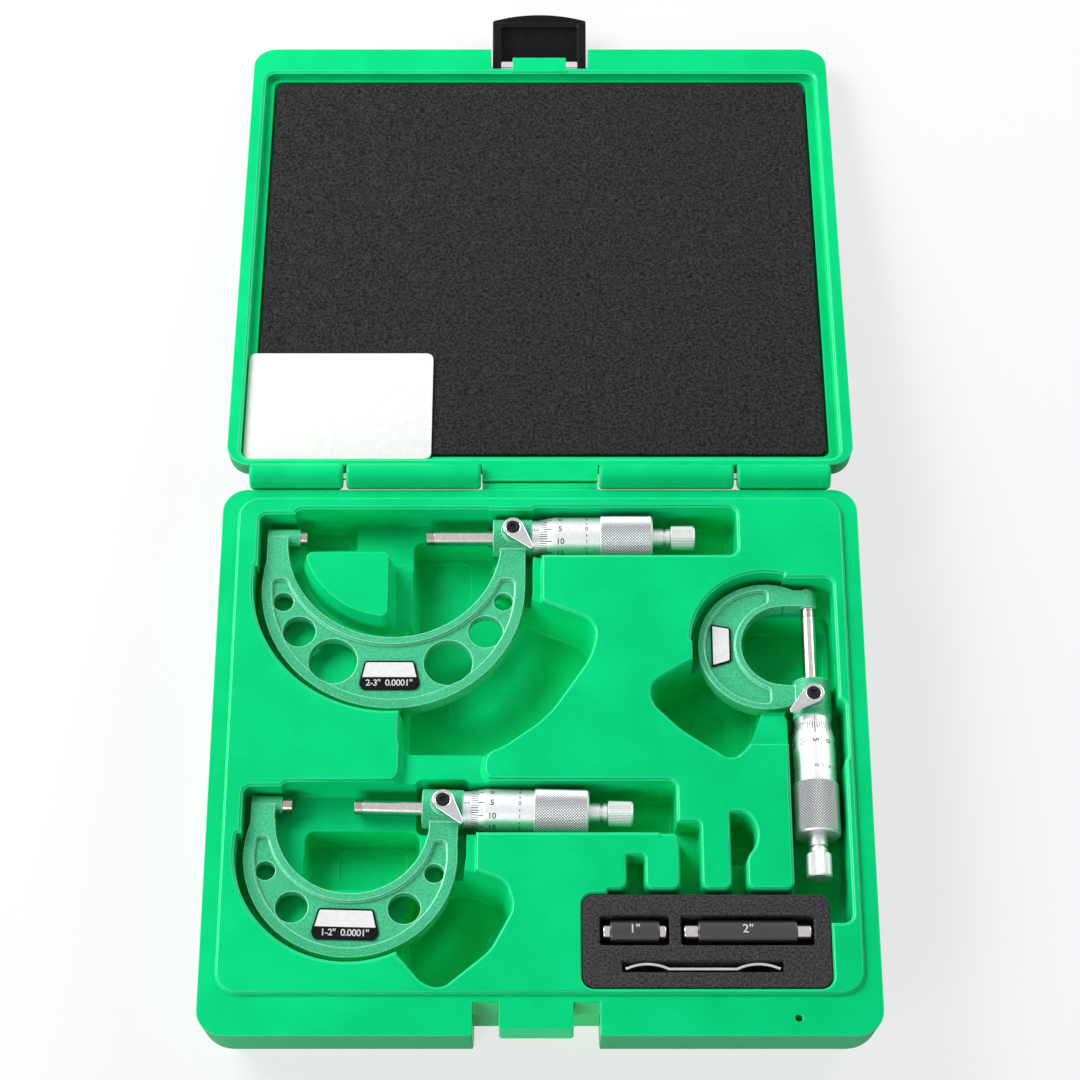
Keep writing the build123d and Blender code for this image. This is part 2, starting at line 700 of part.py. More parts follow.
# ---------------------------------------------------------------- latch, in the lid's axes
def latch():
    """The latch: a tray of a front plate and two arms, with a hook bar and a thumb lip."""
    half = latch_width / 2
    plate_out = latch_plate_in + latch_plate_thickness
    hook_end = latch_hook_start + latch_hook_height
    lip_end = hook_end + latch_lip_length
    arm_side = make_face(Polyline(
        (0, -latch_heel_radius, 0), (0, latch_heel_radius * 0.2, -latch_heel_radius),
        (0, plate_out, latch_plate_start - latch_plate_thickness), (0, plate_out, hook_end),
        (0, latch_plate_in - latch_hook_reach, hook_end), close=True))
    heel = rod(0, latch_arm_width, latch_heel_radius)
    arm = extrude(arm_side, amount=latch_arm_width, dir=(1, 0, 0)) + heel
    corner = hook_end + latch_lip_length - latch_lip_drop
    front = make_face(
        Polyline((half, 0, corner), (half, 0, latch_plate_start),
                 (-half, 0, latch_plate_start), (-half, 0, corner))
        + ThreePointArc((-half, 0, corner), (0, 0, lip_end), (half, 0, corner)))
    plate = Pos(0, latch_plate_in, 0) * extrude(front, amount=latch_plate_thickness, dir=(0, 1, 0))
    bar = block(
        (-half, latch_plate_in - latch_hook_reach, latch_hook_start),
        (half, latch_plate_in + 0.1, hook_end))
    body = plate + bar + Pos(-half, 0, 0) * arm + Pos(half - latch_arm_width, 0, 0) * arm
    body = body - rod(-half - 1, half + 1, latch_pin_radius + latch_pin_fit)
    opened = Rot(-latch_open_angle, 0, 0) * body
    return Pos(latch_x, latch_pin_s, latch_pin_n) * opened


def latch_pin():
    """The pin the latch turns on."""
    half = latch_width / 2 + latch_seat_gap + latch_pin_end
    return Pos(0, latch_pin_s, latch_pin_n) * rod(latch_x - half, latch_x + half, latch_pin_radius)


def lid_foam():
    """The foam sheet lying in the lid."""
    top = -closed_rim_gap - lid_ledge_depth
    return extrude(Pos(0, 0, top) * lid_foam_outline(0), amount=-lid_foam_thickness)


def card():
    """The plain card lying on the lid's ledge and foam."""
    face = RectangleRounded(card_width, card_depth, card_corner_radius)
    low = -closed_rim_gap - lid_ledge_depth + foam_seat_gap
    return extrude(Pos(card_x, card_from_hinge, low) * face, amount=card_thickness)


# ---------------------------------------------------------------- insert, standards, spanner
def standard_cavity(x, length):
    """The room cut in the foam for one setting standard."""
    half = length / 2 + standard_end_gap
    side = standard_sleeve_radius + standard_cavity_gap
    plan = rectangle(x - half, x + half, standard_y - side, standard_y + side, 1.2)
    floor = standard_z - standard_sleeve_radius - seat_gap
    return extrude(Pos(0, 0, floor) * plan, amount=insert_top - floor + 1)


def spanner_plan(thickness):
    """The bent strip of the spanner seen from above: a straight shank between two bowed ends."""
    left = spanner_left
    right = spanner_left + spanner_length
    y = spanner_y
    bow = y + spanner_bow
    line = ThreePointArc((left, y), (left + spanner_hook / 2, bow), (left + spanner_hook, y))
    line += Line((left + spanner_hook, y), (right - spanner_hook, y))
    line += ThreePointArc((right - spanner_hook, y), (right - spanner_hook / 2, bow), (right, y))
    return trace(line, thickness)


def insert_foam():
    """The foam block with its three cut-outs."""
    body = extrude(Pos(0, 0, insert_bottom) * insert_outline(0), amount=insert_height)
    body -= standard_cavity(short_standard_x, short_standard_length)
    body -= standard_cavity(long_standard_x, long_standard_length)
    gap = spanner_slot_gap
    floor = insert_top - spanner_drop - spanner_height - seat_gap
    slot = block(
        (spanner_left - 1.4, spanner_y - spanner_thickness / 2 - gap, floor),
        (spanner_left + spanner_length + 1.4, spanner_y + spanner_bow + spanner_thickness / 2 + gap, insert_top + 1))
    return body - slot


def spanner():
    """The adjusting spanner, standing on edge in its slot."""
    bottom = insert_top - spanner_drop - spanner_height
    return extrude(Pos(0, 0, bottom) * spanner_plan(spanner_thickness), amount=spanner_height)


def standard_rod(x, length):
    """A steel setting standard with slightly eased ends."""
    body = rod(-length / 2, length / 2, standard_rod_radius)
    body = chamfer(body.edges().filter_by(GeomType.CIRCLE), standard_edge)
    return Pos(x, standard_y, standard_z) * body


def standard_sleeve(x, length, bare):
    """The insulating sleeve round a setting standard."""
    half = length / 2 - bare
    body = rod(-half, half, standard_sleeve_radius)
    body = chamfer(body.edges().filter_by(GeomType.CIRCLE), standard_edge)
    body -= rod(-half - 1, half + 1, standard_rod_radius + standard_sleeve_fit)
    return Pos(x, standard_y, standard_z) * body


# ---------------------------------------------------------------- micrometer, in its own axes
# A micrometer's own axes: origin at the anvil's face, +X along the spindle towards the thimble,
# +Y away from the frame's bow, +Z up.
def micrometer_place(m):
    """Where a micrometer's own axes lie."""
    return Pos(m.x, m.y, axis_z) * Rot(0, 0, m.turn + m.lean)


def frame_plan(m):
    """The C of the frame seen from above."""
    arms = Pos((m.anvil_arm_outer + m.head_arm_outer) / 2, m.outer_y / 2) * Rectangle(
        m.head_arm_outer - m.anvil_arm_outer, -m.outer_y)
    mouth_low = m.inner_y
    mouth = Pos((m.anvil_arm_inner + m.head_arm_inner) / 2, (mouth_low + 20) / 2) * Rectangle(
        m.head_arm_inner - m.anvil_arm_inner, 20 - mouth_low)
    bow = disc(m.outer_x, m.outer_y, m.outer_radius) + arms
    return bow - disc(m.inner_x, m.inner_y, m.inner_radius) - mouth


def recess_plan(m):
    """The sunk web between the frame's two rims, with rounded ends."""
    band = disc(m.outer_x, m.outer_y, m.outer_radius - m.outer_rim)
    band -= disc(m.inner_x, m.inner_y, m.inner_radius + m.inner_rim)
    reach = m.outer_radius + 10
    band = clipped(band, m.outer_x - reach, m.outer_x + reach, m.outer_y - reach, m.recess_top)
    widths = [edge.length for edge in band.edges().filter_by(GeomType.LINE)]
    return fillet(band.vertices(), min(m.recess_end_radius, 0.45 * min(widths)))


def frame(m):
    """The painted frame: an I-sectioned bow, the anvil's boss and the head's boss."""
    half = frame_thickness / 2
    bow = extrude(Pos(0, 0, -half) * frame_plan(m), amount=frame_thickness)
    bow = clip_above(bow, m)
    hollow = recess_plan(m)
    bow -= extrude(Pos(0, 0, half - frame_recess) * hollow, amount=frame_recess)
    bow -= extrude(Pos(0, 0, -half) * hollow, amount=frame_recess)
    for x, y, diameter in m.holes:
        bow -= Pos(x, y, 0) * Cylinder(diameter / 2, frame_thickness + 2)
    boss_end = m.head_start + boss_length
    bow += rod(m.anvil_arm_outer, -m.anvil_reach, anvil_boss_radius)
    bow += rod(m.head_start, boss_end, boss_radius)
    lever_x = m.head_start + lever_at
    bow += Pos(lever_x, 0, 0) * Cylinder(
        lever_pad_radius, boss_radius + lever_pad_height, align=(Align.CENTER, Align.CENTER, Align.MIN))
    bow -= rod(m.head_start - 1, boss_end + 1, spindle_radius + spindle_fit)
    socket = sleeve_radius - sleeve_wall + barrel_fit
    bow -= rod(boss_end - bush_socket_depth, boss_end + 1, socket)
    bow -= rod(-m.anvil_reach - anvil_shank_length, 1, anvil_shank_radius + anvil_fit)
    bow -= Pos(lever_x, 0, lock_bore_floor) * Cylinder(
        lock_shank_radius + barrel_fit, boss_radius, align=(Align.CENTER, Align.CENTER, Align.MIN))
    return bow


def clip_above(bow, m):
    """Trim what the round bow leaves above the arms."""
    reach = m.outer_radius + 10
    low = (m.outer_x - reach, -1.0, -frame_thickness)
    high = (m.outer_x + reach, reach, frame_thickness)
    return bow - block(low, high)


def anvil(m):
    """The fixed measuring face on its shank."""
    body = rod(-m.anvil_reach, 0, anvil_radius)
    return body + rod(-m.anvil_reach - anvil_shank_length, -m.anvil_reach, anvil_shank_radius)


def thimble_front(m):
    """Where the thimble's front edge stands."""
    return m.head_start + boss_length + sleeve_exposed


def spindle_end(m):
    """Where the spindle ends inside the thimble."""
    return thimble_front(m) + thimble_wall_start - spindle_end_gap


def spindle(m):
    """The measuring spindle behind its tip, bored at the rear for the ratchet's shank."""
    end = spindle_end(m)
    body = rod(m.opening + tip_length, end, spindle_radius)
    return body - rod(end - stem_shank_length, end + 1, stem_shank_radius + stem_fit)


def spindle_tip(m):
    """The carbide tip on the spindle."""
    return rod(m.opening, m.opening + tip_length, spindle_radius)


def bush(m):
    """The threaded bush inside the sleeve, seated in the frame's boss."""
    boss_end = m.head_start + boss_length
    radius = sleeve_radius - sleeve_wall
    end = boss_end + sleeve_exposed + sleeve_hidden
    body = rod(boss_end - bush_socket_depth, end, radius)
    return body - rod(boss_end - bush_socket_depth - 1, end + 1, spindle_radius + spindle_fit)


def sleeve(m):
    """The graduated sleeve round the bush."""
    boss_end = m.head_start + boss_length
    end = boss_end + sleeve_exposed + sleeve_hidden
    body = rod(boss_end, end, sleeve_radius)
    return body - rod(boss_end - 1, end + 1, sleeve_radius - sleeve_wall + barrel_fit)


def adjusting_nut(m):
    """The nut that takes up play in the thread, at the end of the bush."""
    start = m.head_start + boss_length + sleeve_exposed + sleeve_hidden
    body = rod(start, start + adjusting_nut_length, adjusting_nut_radius)
    return body - rod(start - 1, start + adjusting_nut_length + 1, spindle_radius + spindle_fit)


def thimble(m):
    """The thimble: bevelled edge, plain barrel and raised knurl band, open in front."""
    x = thimble_front(m)
    bore = sleeve_radius + thimble_fit
    wall = x + thimble_wall_start
    end = x + thimble_length
    knurl_end = x + knurl_start + knurl_length
    hole = stem_shank_radius + stem_fit
    return turned((
        (x, bore), (x, thimble_edge_radius), (x + thimble_bevel, thimble_radius),
        (x + knurl_start, thimble_radius), (x + knurl_start + 0.3, knurl_radius),
        (knurl_end, knurl_radius), (end, knurl_radius - knurl_chamfer), (end, hole),
        (wall, hole), (wall, bore)))


def ratchet_stem(m):
    """The stem that closes the thimble and carries the ratchet."""
    x = thimble_front(m) + thimble_length
    groove = x + stem_groove_at
    low = stem_radius - stem_groove_depth
    shank = thimble_front(m) + thimble_wall_start - stem_shank_length + 1
    tail = x + stem_length
    return turned((
        (shank, 0), (shank, stem_shank_radius), (x, stem_shank_radius), (x, stem_radius),
        (groove, stem_radius), (groove, low), (groove + stem_groove_width, low),
        (groove + stem_groove_width, stem_radius), (tail, stem_radius), (tail, stem_tail_radius),
        (tail + stem_tail_length, stem_tail_radius), (tail + stem_tail_length, 0)))


def ratchet_knob(m):
    """The knob over the ratchet: a cup with a slightly domed end."""
    x = thimble_front(m) + thimble_length + stem_length + knob_gap
    end = x + knob_length - knob_gap
    cup = x + spring_length + 2 * spring_fit + 1.0
    bore = stem_tail_radius + knob_fit
    room = spring_outer_radius + spring_fit
    return turned((
        (x, bore), (x, knob_radius - 0.4), (x + 0.4, knob_radius), (end - knob_edge, knob_radius),
        (end, knob_radius - knob_edge), (end + 0.3, 0), (end - 1.6, 0), (end - 1.6, bore),
        (cup, bore), (cup, room), (x + 1.0, room), (x + 1.0, bore)))


def ratchet_spring(m):
    """The ratchet's spring, as a plain ring of its outer size."""
    x = thimble_front(m) + thimble_length + stem_length + knob_gap + 1.0 + spring_fit
    return rod(x, x + spring_length, spring_outer_radius) - rod(x - 1, x + spring_length + 1, spring_inner_radius)


def lock_lever(m):
    """The teardrop lever of the spindle lock."""
    ring = Circle(lever_ring_radius)
    tip = Pos(lever_length, 0) * Circle(lever_tip_radius)
    lean = asin((lever_ring_radius - lever_tip_radius) / lever_length)
    up = cos(lean)
    along = sin(lean)
    flank = (lever_ring_radius * along, lever_ring_radius * up)
    point = (lever_length + lever_tip_radius * along, lever_tip_radius * up)
    arm = make_face(Polyline(
        flank, point, (point[0], -point[1]), (flank[0], -flank[1]), close=True))
    plan = ring + tip + arm
    body = extrude(plan, amount=lever_thickness)
    body -= Cylinder(lock_shank_radius + lever_fit, 3 * lever_thickness)
    seat = lock_seat - lever_base
    body -= Pos(0, 0, seat) * Cylinder(
        lock_head_radius + lever_fit, lever_thickness, align=(Align.CENTER, Align.CENTER, Align.MIN))
    return Pos(m.head_start + lever_at, 0, lever_base) * Rot(0, 0, lever_angle) * body


def lock_screw(m):
    """The socket-headed screw the lever turns on."""
    head = Pos(0, 0, lock_seat + lever_fit) * Cylinder(
        lock_head_radius, lock_head_height, align=(Align.CENTER, Align.CENTER, Align.MIN))
    length = lock_seat + lever_fit - lock_bore_floor - 0.3
    shank = Pos(0, 0, lock_bore_floor + 0.3) * Cylinder(
        lock_shank_radius, length, align=(Align.CENTER, Align.CENTER, Align.MIN))
    socket = Pos(0, 0, lever_top - lock_hex_depth) * extrude(
        RegularPolygon(lock_hex / 2, 6, major_radius=False), amount=lock_hex_depth + 1)
    return Pos(m.head_start + lever_at, 0, 0) * (head + shank - socket)


def name_plate(m):
    """The plate in the frame's recess."""
    face = outline(m.plate, 1.2)
    return extrude(Pos(0, 0, frame_thickness / 2 - frame_recess) * face, amount=plate_thickness)


# ---------------------------------------------------------------- write every piece
save("base_shell", base_shell())
save("hinge_pins", hinge_pins())
save("insert_foam", insert_foam())
save("spanner", spanner())
save("short_standard_rod", standard_rod(short_standard_x, short_standard_length))
save("short_standard_sleeve", standard_sleeve(short_standard_x, short_standard_length, short_standard_bare))
save("long_standard_rod", standard_rod(long_standard_x, long_standard_length))
save("long_standard_sleeve", standard_sleeve(long_standard_x, long_standard_length, long_standard_bare))

for name, piece in (
        ("lid_shell", lid_shell()), ("lid_foam", lid_foam()), ("card", card()),
        ("latch", latch()), ("latch_pin", latch_pin())):
    save(name, lid_place() * piece)

for m in micrometers:
    for name, make in (
            ("frame", frame), ("anvil", anvil), ("spindle", spindle), ("spindle_tip", spindle_tip),
            ("bush", bush), ("sleeve", sleeve), ("adjusting_nut", adjusting_nut), ("thimble", thimble),
            ("ratchet_stem", ratchet_stem), ("ratchet_knob", ratchet_knob),
            ("ratchet_spring", ratchet_spring), ("lock_lever", lock_lever),
            ("lock_screw", lock_screw), ("name_plate", name_plate)):
        save(m.name + "_" + name, micrometer_place(m) * make(m))
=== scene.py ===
from math import atan2, cos, pi, radians, sin

import bpy
from mathutils import Matrix, Vector


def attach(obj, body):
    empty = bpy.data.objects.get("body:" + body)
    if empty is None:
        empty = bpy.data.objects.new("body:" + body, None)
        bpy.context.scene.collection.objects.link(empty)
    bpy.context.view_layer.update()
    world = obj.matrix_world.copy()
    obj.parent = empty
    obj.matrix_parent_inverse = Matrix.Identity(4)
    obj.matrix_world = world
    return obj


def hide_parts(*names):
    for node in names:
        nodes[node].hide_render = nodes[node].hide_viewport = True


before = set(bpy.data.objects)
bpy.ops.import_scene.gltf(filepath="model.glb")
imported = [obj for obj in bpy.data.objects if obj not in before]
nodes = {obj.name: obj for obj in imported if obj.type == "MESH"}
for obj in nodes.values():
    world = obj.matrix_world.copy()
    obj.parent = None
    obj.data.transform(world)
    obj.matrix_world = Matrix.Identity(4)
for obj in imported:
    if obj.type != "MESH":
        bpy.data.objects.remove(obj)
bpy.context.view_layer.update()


# ================================================================ camera, floor and light
# A plain studio: a white floor, two soft lamps low behind the case, the left one much the
# stronger, a third in front, and an even white room. The camera looks steeply down into the case.
def linear(colour):
    """An sRGB hex colour as linear red, green, blue and alpha."""
    channels = [int(colour[i:i + 2], 16) / 255 for i in (1, 3, 5)]
    return [c / 12.92 if c <= 0.04045 else ((c + 0.055) / 1.055) ** 2.4 for c in channels] + [1.0]


def add_node(owner, kind, inputs=None, **settings):
    """Adds a shader node to a material or world, sets it, and fills or links its inputs."""
    tree = owner.node_tree
    made = tree.nodes.new("ShaderNode" + kind)
    for name, value in settings.items():
        setattr(made, name, value)
    for name, value in (inputs or {}).items():
        if isinstance(value, bpy.types.NodeSocket):
            tree.links.new(value, made.inputs[name])
        else:
            made.inputs[name].default_value = value
    return made


camera = bpy.data.objects.new("camera", bpy.data.cameras.new("camera"))
bpy.context.scene.collection.objects.link(camera)
camera.location = (0.0, -0.47344, 1.16801)
camera.rotation_euler = (radians(26.81), 0.0, 0.0)
camera.data.lens = 99.448
camera.data.sensor_width = 36.0
camera.data.clip_end = 20.0
bpy.context.scene.camera = camera
bpy.context.scene.view_settings.view_transform = "Standard"


def seen_or_mirrored(owner):
    """1 for a ray from the camera, a mirror or glass, and 0 for a ray of plain light."""
    ray = add_node(owner, "LightPath")
    seen = ray.outputs["Is Camera Ray"]
    for kind in ("Is Glossy Ray", "Is Transmission Ray"):
        either = add_node(owner, "Math", {0: seen, 1: ray.outputs[kind]}, operation="MAXIMUM")
        seen = either.outputs[0]
    return seen


room = bpy.data.worlds.new("white_room")
bpy.context.scene.world = room
room.use_nodes = True
room.node_tree.nodes.clear()
soft_fill = add_node(room, "Background", {"Color": linear("#FFFFFF"), "Strength": 0.09})
white_back = add_node(room, "Background", {"Color": linear("#FFFFFF"), "Strength": 1.0})
room_mix = add_node(
    room, "MixShader",
    {0: seen_or_mirrored(room), 1: soft_fill.outputs[0], 2: white_back.outputs[0]})
add_node(room, "OutputWorld", {"Surface": room_mix.outputs[0]})

for lamp_name, place, aim, size, watts in (
        ("rear_left", (-1.05, 0.75, 0.92), (0.0, 0.0, 0.02), (1.2, 0.7), 26.0),
        ("rear_right", (1.05, 0.85, 0.75), (0.0, 0.0, 0.02), (1.0, 0.6), 9.5),
        ("front_left", (-0.80, -1.20, 0.65), (0.0, -0.05, 0.02), (1.2, 0.7), 12.0)):
    lamp = bpy.data.objects.new(lamp_name, bpy.data.lights.new(lamp_name, "AREA"))
    bpy.context.scene.collection.objects.link(lamp)
    lamp.data.shape = "RECTANGLE"
    lamp.data.size, lamp.data.size_y = size
    lamp.data.energy = watts
    lamp.location = place
    lamp.rotation_euler = (Vector(aim) - Vector(place)).to_track_quat("-Z", "Y").to_euler()

floor_paint = bpy.data.materials.new("white_floor")
floor_paint.use_nodes = True
floor_paint.node_tree.nodes.clear()
floor_share = add_node(
    floor_paint, "Math", {0: seen_or_mirrored(floor_paint), 1: 0.7}, operation="MULTIPLY")
floor_matt = add_node(floor_paint, "BsdfDiffuse", {"Color": linear("#F4F4F4")})
floor_glow = add_node(floor_paint, "Emission", {"Color": linear("#FFFFFF"), "Strength": 1.0})
floor_mix = add_node(
    floor_paint, "MixShader",
    {0: floor_share.outputs[0], 1: floor_matt.outputs[0], 2: floor_glow.outputs[0]})
add_node(floor_paint, "OutputMaterial", {"Surface": floor_mix.outputs[0]})
bpy.ops.object.select_all(action="DESELECT")
bpy.ops.mesh.primitive_circle_add(vertices=64, radius=6.0, fill_type="NGON", location=(0, 0, 0))
studio_floor = bpy.context.active_object
studio_floor.name = "studio_floor"
studio_floor.data.materials.append(floor_paint)


# ================================================================ base
# The lower half of the case: blow-moulded polypropylene, double-walled, with every pocket formed
# in its inner skin. Its edges are soft where the hot skin was drawn over the mould's corners.
# Inside it is smooth and slightly wavy; outside the mould's grain makes it matt.
def take_up(piece):
    """Selects one piece and nothing else."""
    bpy.ops.object.select_all(action="DESELECT")
    piece.select_set(True)
    bpy.context.view_layer.objects.active = piece


def open_alone(piece, select="SELECT"):
    """Opens one piece in edit mode, all selected or nothing."""
    take_up(piece)
    bpy.ops.object.mode_set(mode="EDIT")
    bpy.ops.mesh.select_all(action=select)


def worked_copy(node, name):
    """A copy of a CAD node's mesh with its loose triangles joined into clean faces."""
    piece = bpy.data.objects.new(name, nodes[node].data.copy())
    bpy.context.scene.collection.objects.link(piece)
    open_alone(piece)
    bpy.ops.mesh.customdata_custom_splitnormals_clear()
    bpy.ops.mesh.remove_doubles(threshold=2e-6)
    bpy.ops.object.mode_set(mode="OBJECT")
    return piece


def apply_all(piece):
    """Applies every modifier of a piece."""
    take_up(piece)
    for modifier in list(piece.modifiers):
        bpy.ops.object.modifier_apply(modifier=modifier.name)


def soften(piece, width, segments=2, over=32, edge_slot=-1):
    """Rounds every edge sharper than an angle, and can give the roundings their own material."""
    bevel = piece.modifiers.new("edge", "BEVEL")
    bevel.width = width
    bevel.segments = segments
    bevel.limit_method = "ANGLE"
    bevel.angle_limit = radians(over)
    bevel.material = edge_slot
    bevel.use_clamp_overlap = False
    bevel.loop_slide = False
    apply_all(piece)
    bpy.ops.object.shade_smooth_by_angle(angle=radians(40))
    even = piece.modifiers.new("even", "WEIGHTED_NORMAL")
    even.keep_sharp = True
    apply_all(piece)


def dress(piece, *materials):
    """Gives a piece its materials."""
    piece.data.materials.clear()
    for material in materials:
        piece.data.materials.append(material)


def plastic(name, colour, rough, specular):
    """A new material whose plain shader stands for one moulded plastic."""
    material = bpy.data.materials.new(name)
    material.use_nodes = True
    shader = material.node_tree.nodes["Principled BSDF"]
    shader.inputs["Base Color"].default_value = linear(colour)
    shader.inputs["Roughness"].default_value = rough
    shader.inputs["Specular IOR Level"].default_value = specular
    shader.inputs["IOR"].default_value = 1.49
    return material, shader


def tinted(material, shader, low, high, size, detail=3.0):
    """Lets the colour wander between two shades over patches of a real size in metres."""
    where = add_node(material, "TexCoord")
    patches = add_node(
        material, "TexNoise",
        {"Vector": where.outputs["Object"], "Scale": 1 / size, "Detail": detail, "Roughness": 0.55})
    shades = add_node(material, "ValToRGB", {"Fac": patches.outputs["Fac"]})
    shades.color_ramp.elements[0].position = 0.35
    shades.color_ramp.elements[0].color = linear(low)
    shades.color_ramp.elements[1].position = 0.65
    shades.color_ramp.elements[1].color = linear(high)
    material.node_tree.links.new(shades.outputs["Color"], shader.inputs["Base Color"])
    return where


def bumped(material, shader, where, size, depth, strength, kind="TexNoise", under=None):
    """Raises grain of a real size and depth in metres on a surface."""
    grain = add_node(material, kind, {"Vector": where.outputs["Object"], "Scale": 1 / size})
    raised = add_node(
        material, "Bump",
        {"Height": grain.outputs[0], "Distance": depth, "Strength": strength})
    if under is not None:
        material.node_tree.links.new(under.outputs["Normal"], raised.inputs["Normal"])
    material.node_tree.links.new(raised.outputs["Normal"], shader.inputs["Normal"])
    return raised


# Polypropylene against the polished side of the mould: smooth, with waves a few millimetres long
smooth_green, smooth_shader = plastic("moulded_green_polypropylene", "#06DA84", 0.34, 0.07)
smooth_where = tinted(smooth_green, smooth_shader, "#04D27D", "#08DE88", 0.03)
long_waves = bumped(smooth_green, smooth_shader, smooth_where, 0.009, 0.0006, 0.12)
bumped(smooth_green, smooth_shader, smooth_where, 0.0007, 0.00003, 0.25, under=long_waves)

# The same plastic against the etched side: matt and a little greyer, with a fine pebble grain
# about 0.7 mm across
grained_green, grained_shader = plastic("grained_green_polypropylene", "#1BA76B", 0.62, 0.3)
grained_where = tinted(grained_green, grained_shader, "#189F66", "#22AE72", 0.0012)
bumped(grained_green, grained_shader, grained_where, 0.0007, 0.0002, 0.5, kind="TexVoronoi")

# The same plastic on the roundings of the lips: glossy, and painted a little paler as a highlight
painted_highlight_green, painted_highlight_shader = plastic("green_polypropylene_painted_highlight", "#1FE293", 0.28, 0.3)
painted_highlight_where = tinted(painted_highlight_green, painted_highlight_shader, "#1ADE8F", "#26E699", 0.02)
bumped(painted_highlight_green, painted_highlight_shader, painted_highlight_where, 0.009, 0.0004, 0.1)


knuckle_reach = 0.0058   # a little more than a hinge knuckle's radius


def zone_plastic(piece, inside_place, hinge, reach_x, low_y, high_y, top):
    """Puts the grained plastic on the outer walls below the rim, and keeps the paler painted
    highlight on high lips only.
    """
    back = inside_place.inverted()
    turned = back.to_3x3()
    for face in piece.data.polygons:
        centre = back @ face.center
        facing = turned @ face.normal
        below_rim = centre.z < top
        drawn_in = facing.z < -0.02
        beside = (abs(centre.x) > reach_x or not low_y < centre.y < high_y) and facing.z < 0.5
        on_knuckle = (centre.yz - Vector(hinge)).length < knuckle_reach
        if below_rim and not on_knuckle and (drawn_in or beside):
            face.material_index = 1
        # The pale painted highlight stays only on lips above the rim that face upward
        elif face.material_index == 2 and (below_rim or facing.z < 0.15):
            face.material_index = 0


def grown(corners, by):
    """The corners of a plan, moved out by one width all round."""
    count = len(corners)
    points = [Vector(corner) for corner in corners]
    turn = sum(points[i - 1].x * points[i].y - points[i].x * points[i - 1].y for i in range(count))
    outward = []
    for i in range(count):
        along = (points[(i + 1) % count] - points[i]).normalized()
        outward.append(Vector((along.y, -along.x)) * (1 if turn > 0 else -1))
    return [
        points[i] + (outward[i - 1] + outward[i]) * by / (1 + outward[i - 1].dot(outward[i]))
        for i in range(count)]


def moulded_space(name, corners, rounding, steps, place=Matrix()):
    """A closed shape drawn down from a plan in millimetres: each step goes in, then down."""
    bpy.ops.object.select_all(action="DESELECT")
    bpy.ops.mesh.primitive_circle_add(vertices=len(corners), radius=0.01, fill_type="NGON")
    shape = bpy.context.active_object
    shape.name = name
    for vertex, (x, y) in zip(shape.data.vertices, corners):
        vertex.co = (x / 1000, y / 1000, steps[0][1] / 1000)
    open_alone(shape)
    if rounding:
        bpy.ops.mesh.bevel(offset=rounding / 1000, segments=6, affect="VERTICES")
        bpy.ops.mesh.select_all(action="SELECT")
    height = steps[0][1]
    bpy.ops.mesh.extrude_region_move(
        TRANSFORM_OT_translate={"value": (0, 0, (steps[1][1] - height) / 1000)})
    height = steps[1][1]
    for inward, lower in steps[2:]:
        bpy.ops.mesh.inset(thickness=inward / 1000)
        bpy.ops.transform.translate(value=(0, 0, (lower - height) / 1000))
        height = lower
    bpy.ops.mesh.select_all(action="SELECT")
    bpy.ops.mesh.normals_make_consistent(inside=False)
    bpy.ops.object.mode_set(mode="OBJECT")
    shape.data.transform(place)
    return shape


def four_corners(left, right, front, rear):
    """The corners of a rectangle."""
    return ((left, front), (right, front), (right, rear), (left, rear))


def round_corner(x, y, aside, away, radius):
    """The corners of the plan between a sharp corner and its rounding, with a little over."""
    over = 0.4
    outer = ((x + aside * radius, y - away * over), (x - aside * over, y - away * over),
             (x - aside * over, y + away * radius))
    turns = [radians(90 - 15 * i) for i in range(7)]
    arc = [(x + aside * radius * (1 - sin(t)), y + away * radius * (1 - cos(t))) for t in turns]
    return outer + tuple(arc)


def worked_in(piece, shapes, operation):
    """Adds or cuts away a set of shapes, all at once."""
    group = bpy.data.collections.new("shapes")
    bpy.context.scene.collection.children.link(group)
    for shape in shapes:
        group.objects.link(shape)
    work = piece.modifiers.new("work", "BOOLEAN")
    work.operation = operation
    work.operand_type = "COLLECTION"
    work.collection = group
    work.solver = "MANIFOLD"
    apply_all(piece)
    for shape in shapes:
        bpy.data.objects.remove(shape)
    bpy.data.collections.remove(group)


# Heights and places in millimetres. The wells lie square to the case under each bow
rim = 40.5
plateau = 42.0
frame_floor = 28.2
finger_floor = 16.0
lip = 0.8
front_face = -120.5
tongue_face = -117.9
notch_back = -106.9
bow_places = {
    "large": Matrix.Translation((-0.0990, 0.1012, 0)),
    "medium": Matrix.Translation((-0.1009, -0.02096, 0)),
    "small": Matrix.Translation((0.1128, 0.0661, 0)) @ Matrix.Rotation(radians(-90), 4, "Z"),
}
base_moulding = worked_copy("base_shell", "base_moulding")

# The floors are first brought up where the wells are narrower than a plain block
raised = (
    (four_corners(-22.0, 12.0, -7.0, 26.0), plateau),
    (four_corners(-61.0, -54.0, 40.0, 88.0), frame_floor),
    (four_corners(-97.0, -79.5, 91.5, 97.5), frame_floor),
    (four_corners(82.0, 101.0, -8.0, 17.0), plateau),
    (four_corners(84.0, 101.5, 16.9, 37.0), frame_floor),
    (((44.0, 26.0), (60.0, 49.0), (63.3, 49.0), (63.3, 36.0), (58.0, 30.0)), plateau),
    (four_corners(63.2, 92.0, 38.0, 46.0), frame_floor),
    (four_corners(32.0, 55.6, -61.3, -42.0), plateau),
    (four_corners(55.5, 93.0, -61.3, -31.9), plateau),
    (four_corners(70.0, 93.0, -34.0, -22.0), plateau),
)
blocks = [
    moulded_space("raised", plan, 0, ((0, top), (0, 12.0))) for plan, top in raised]

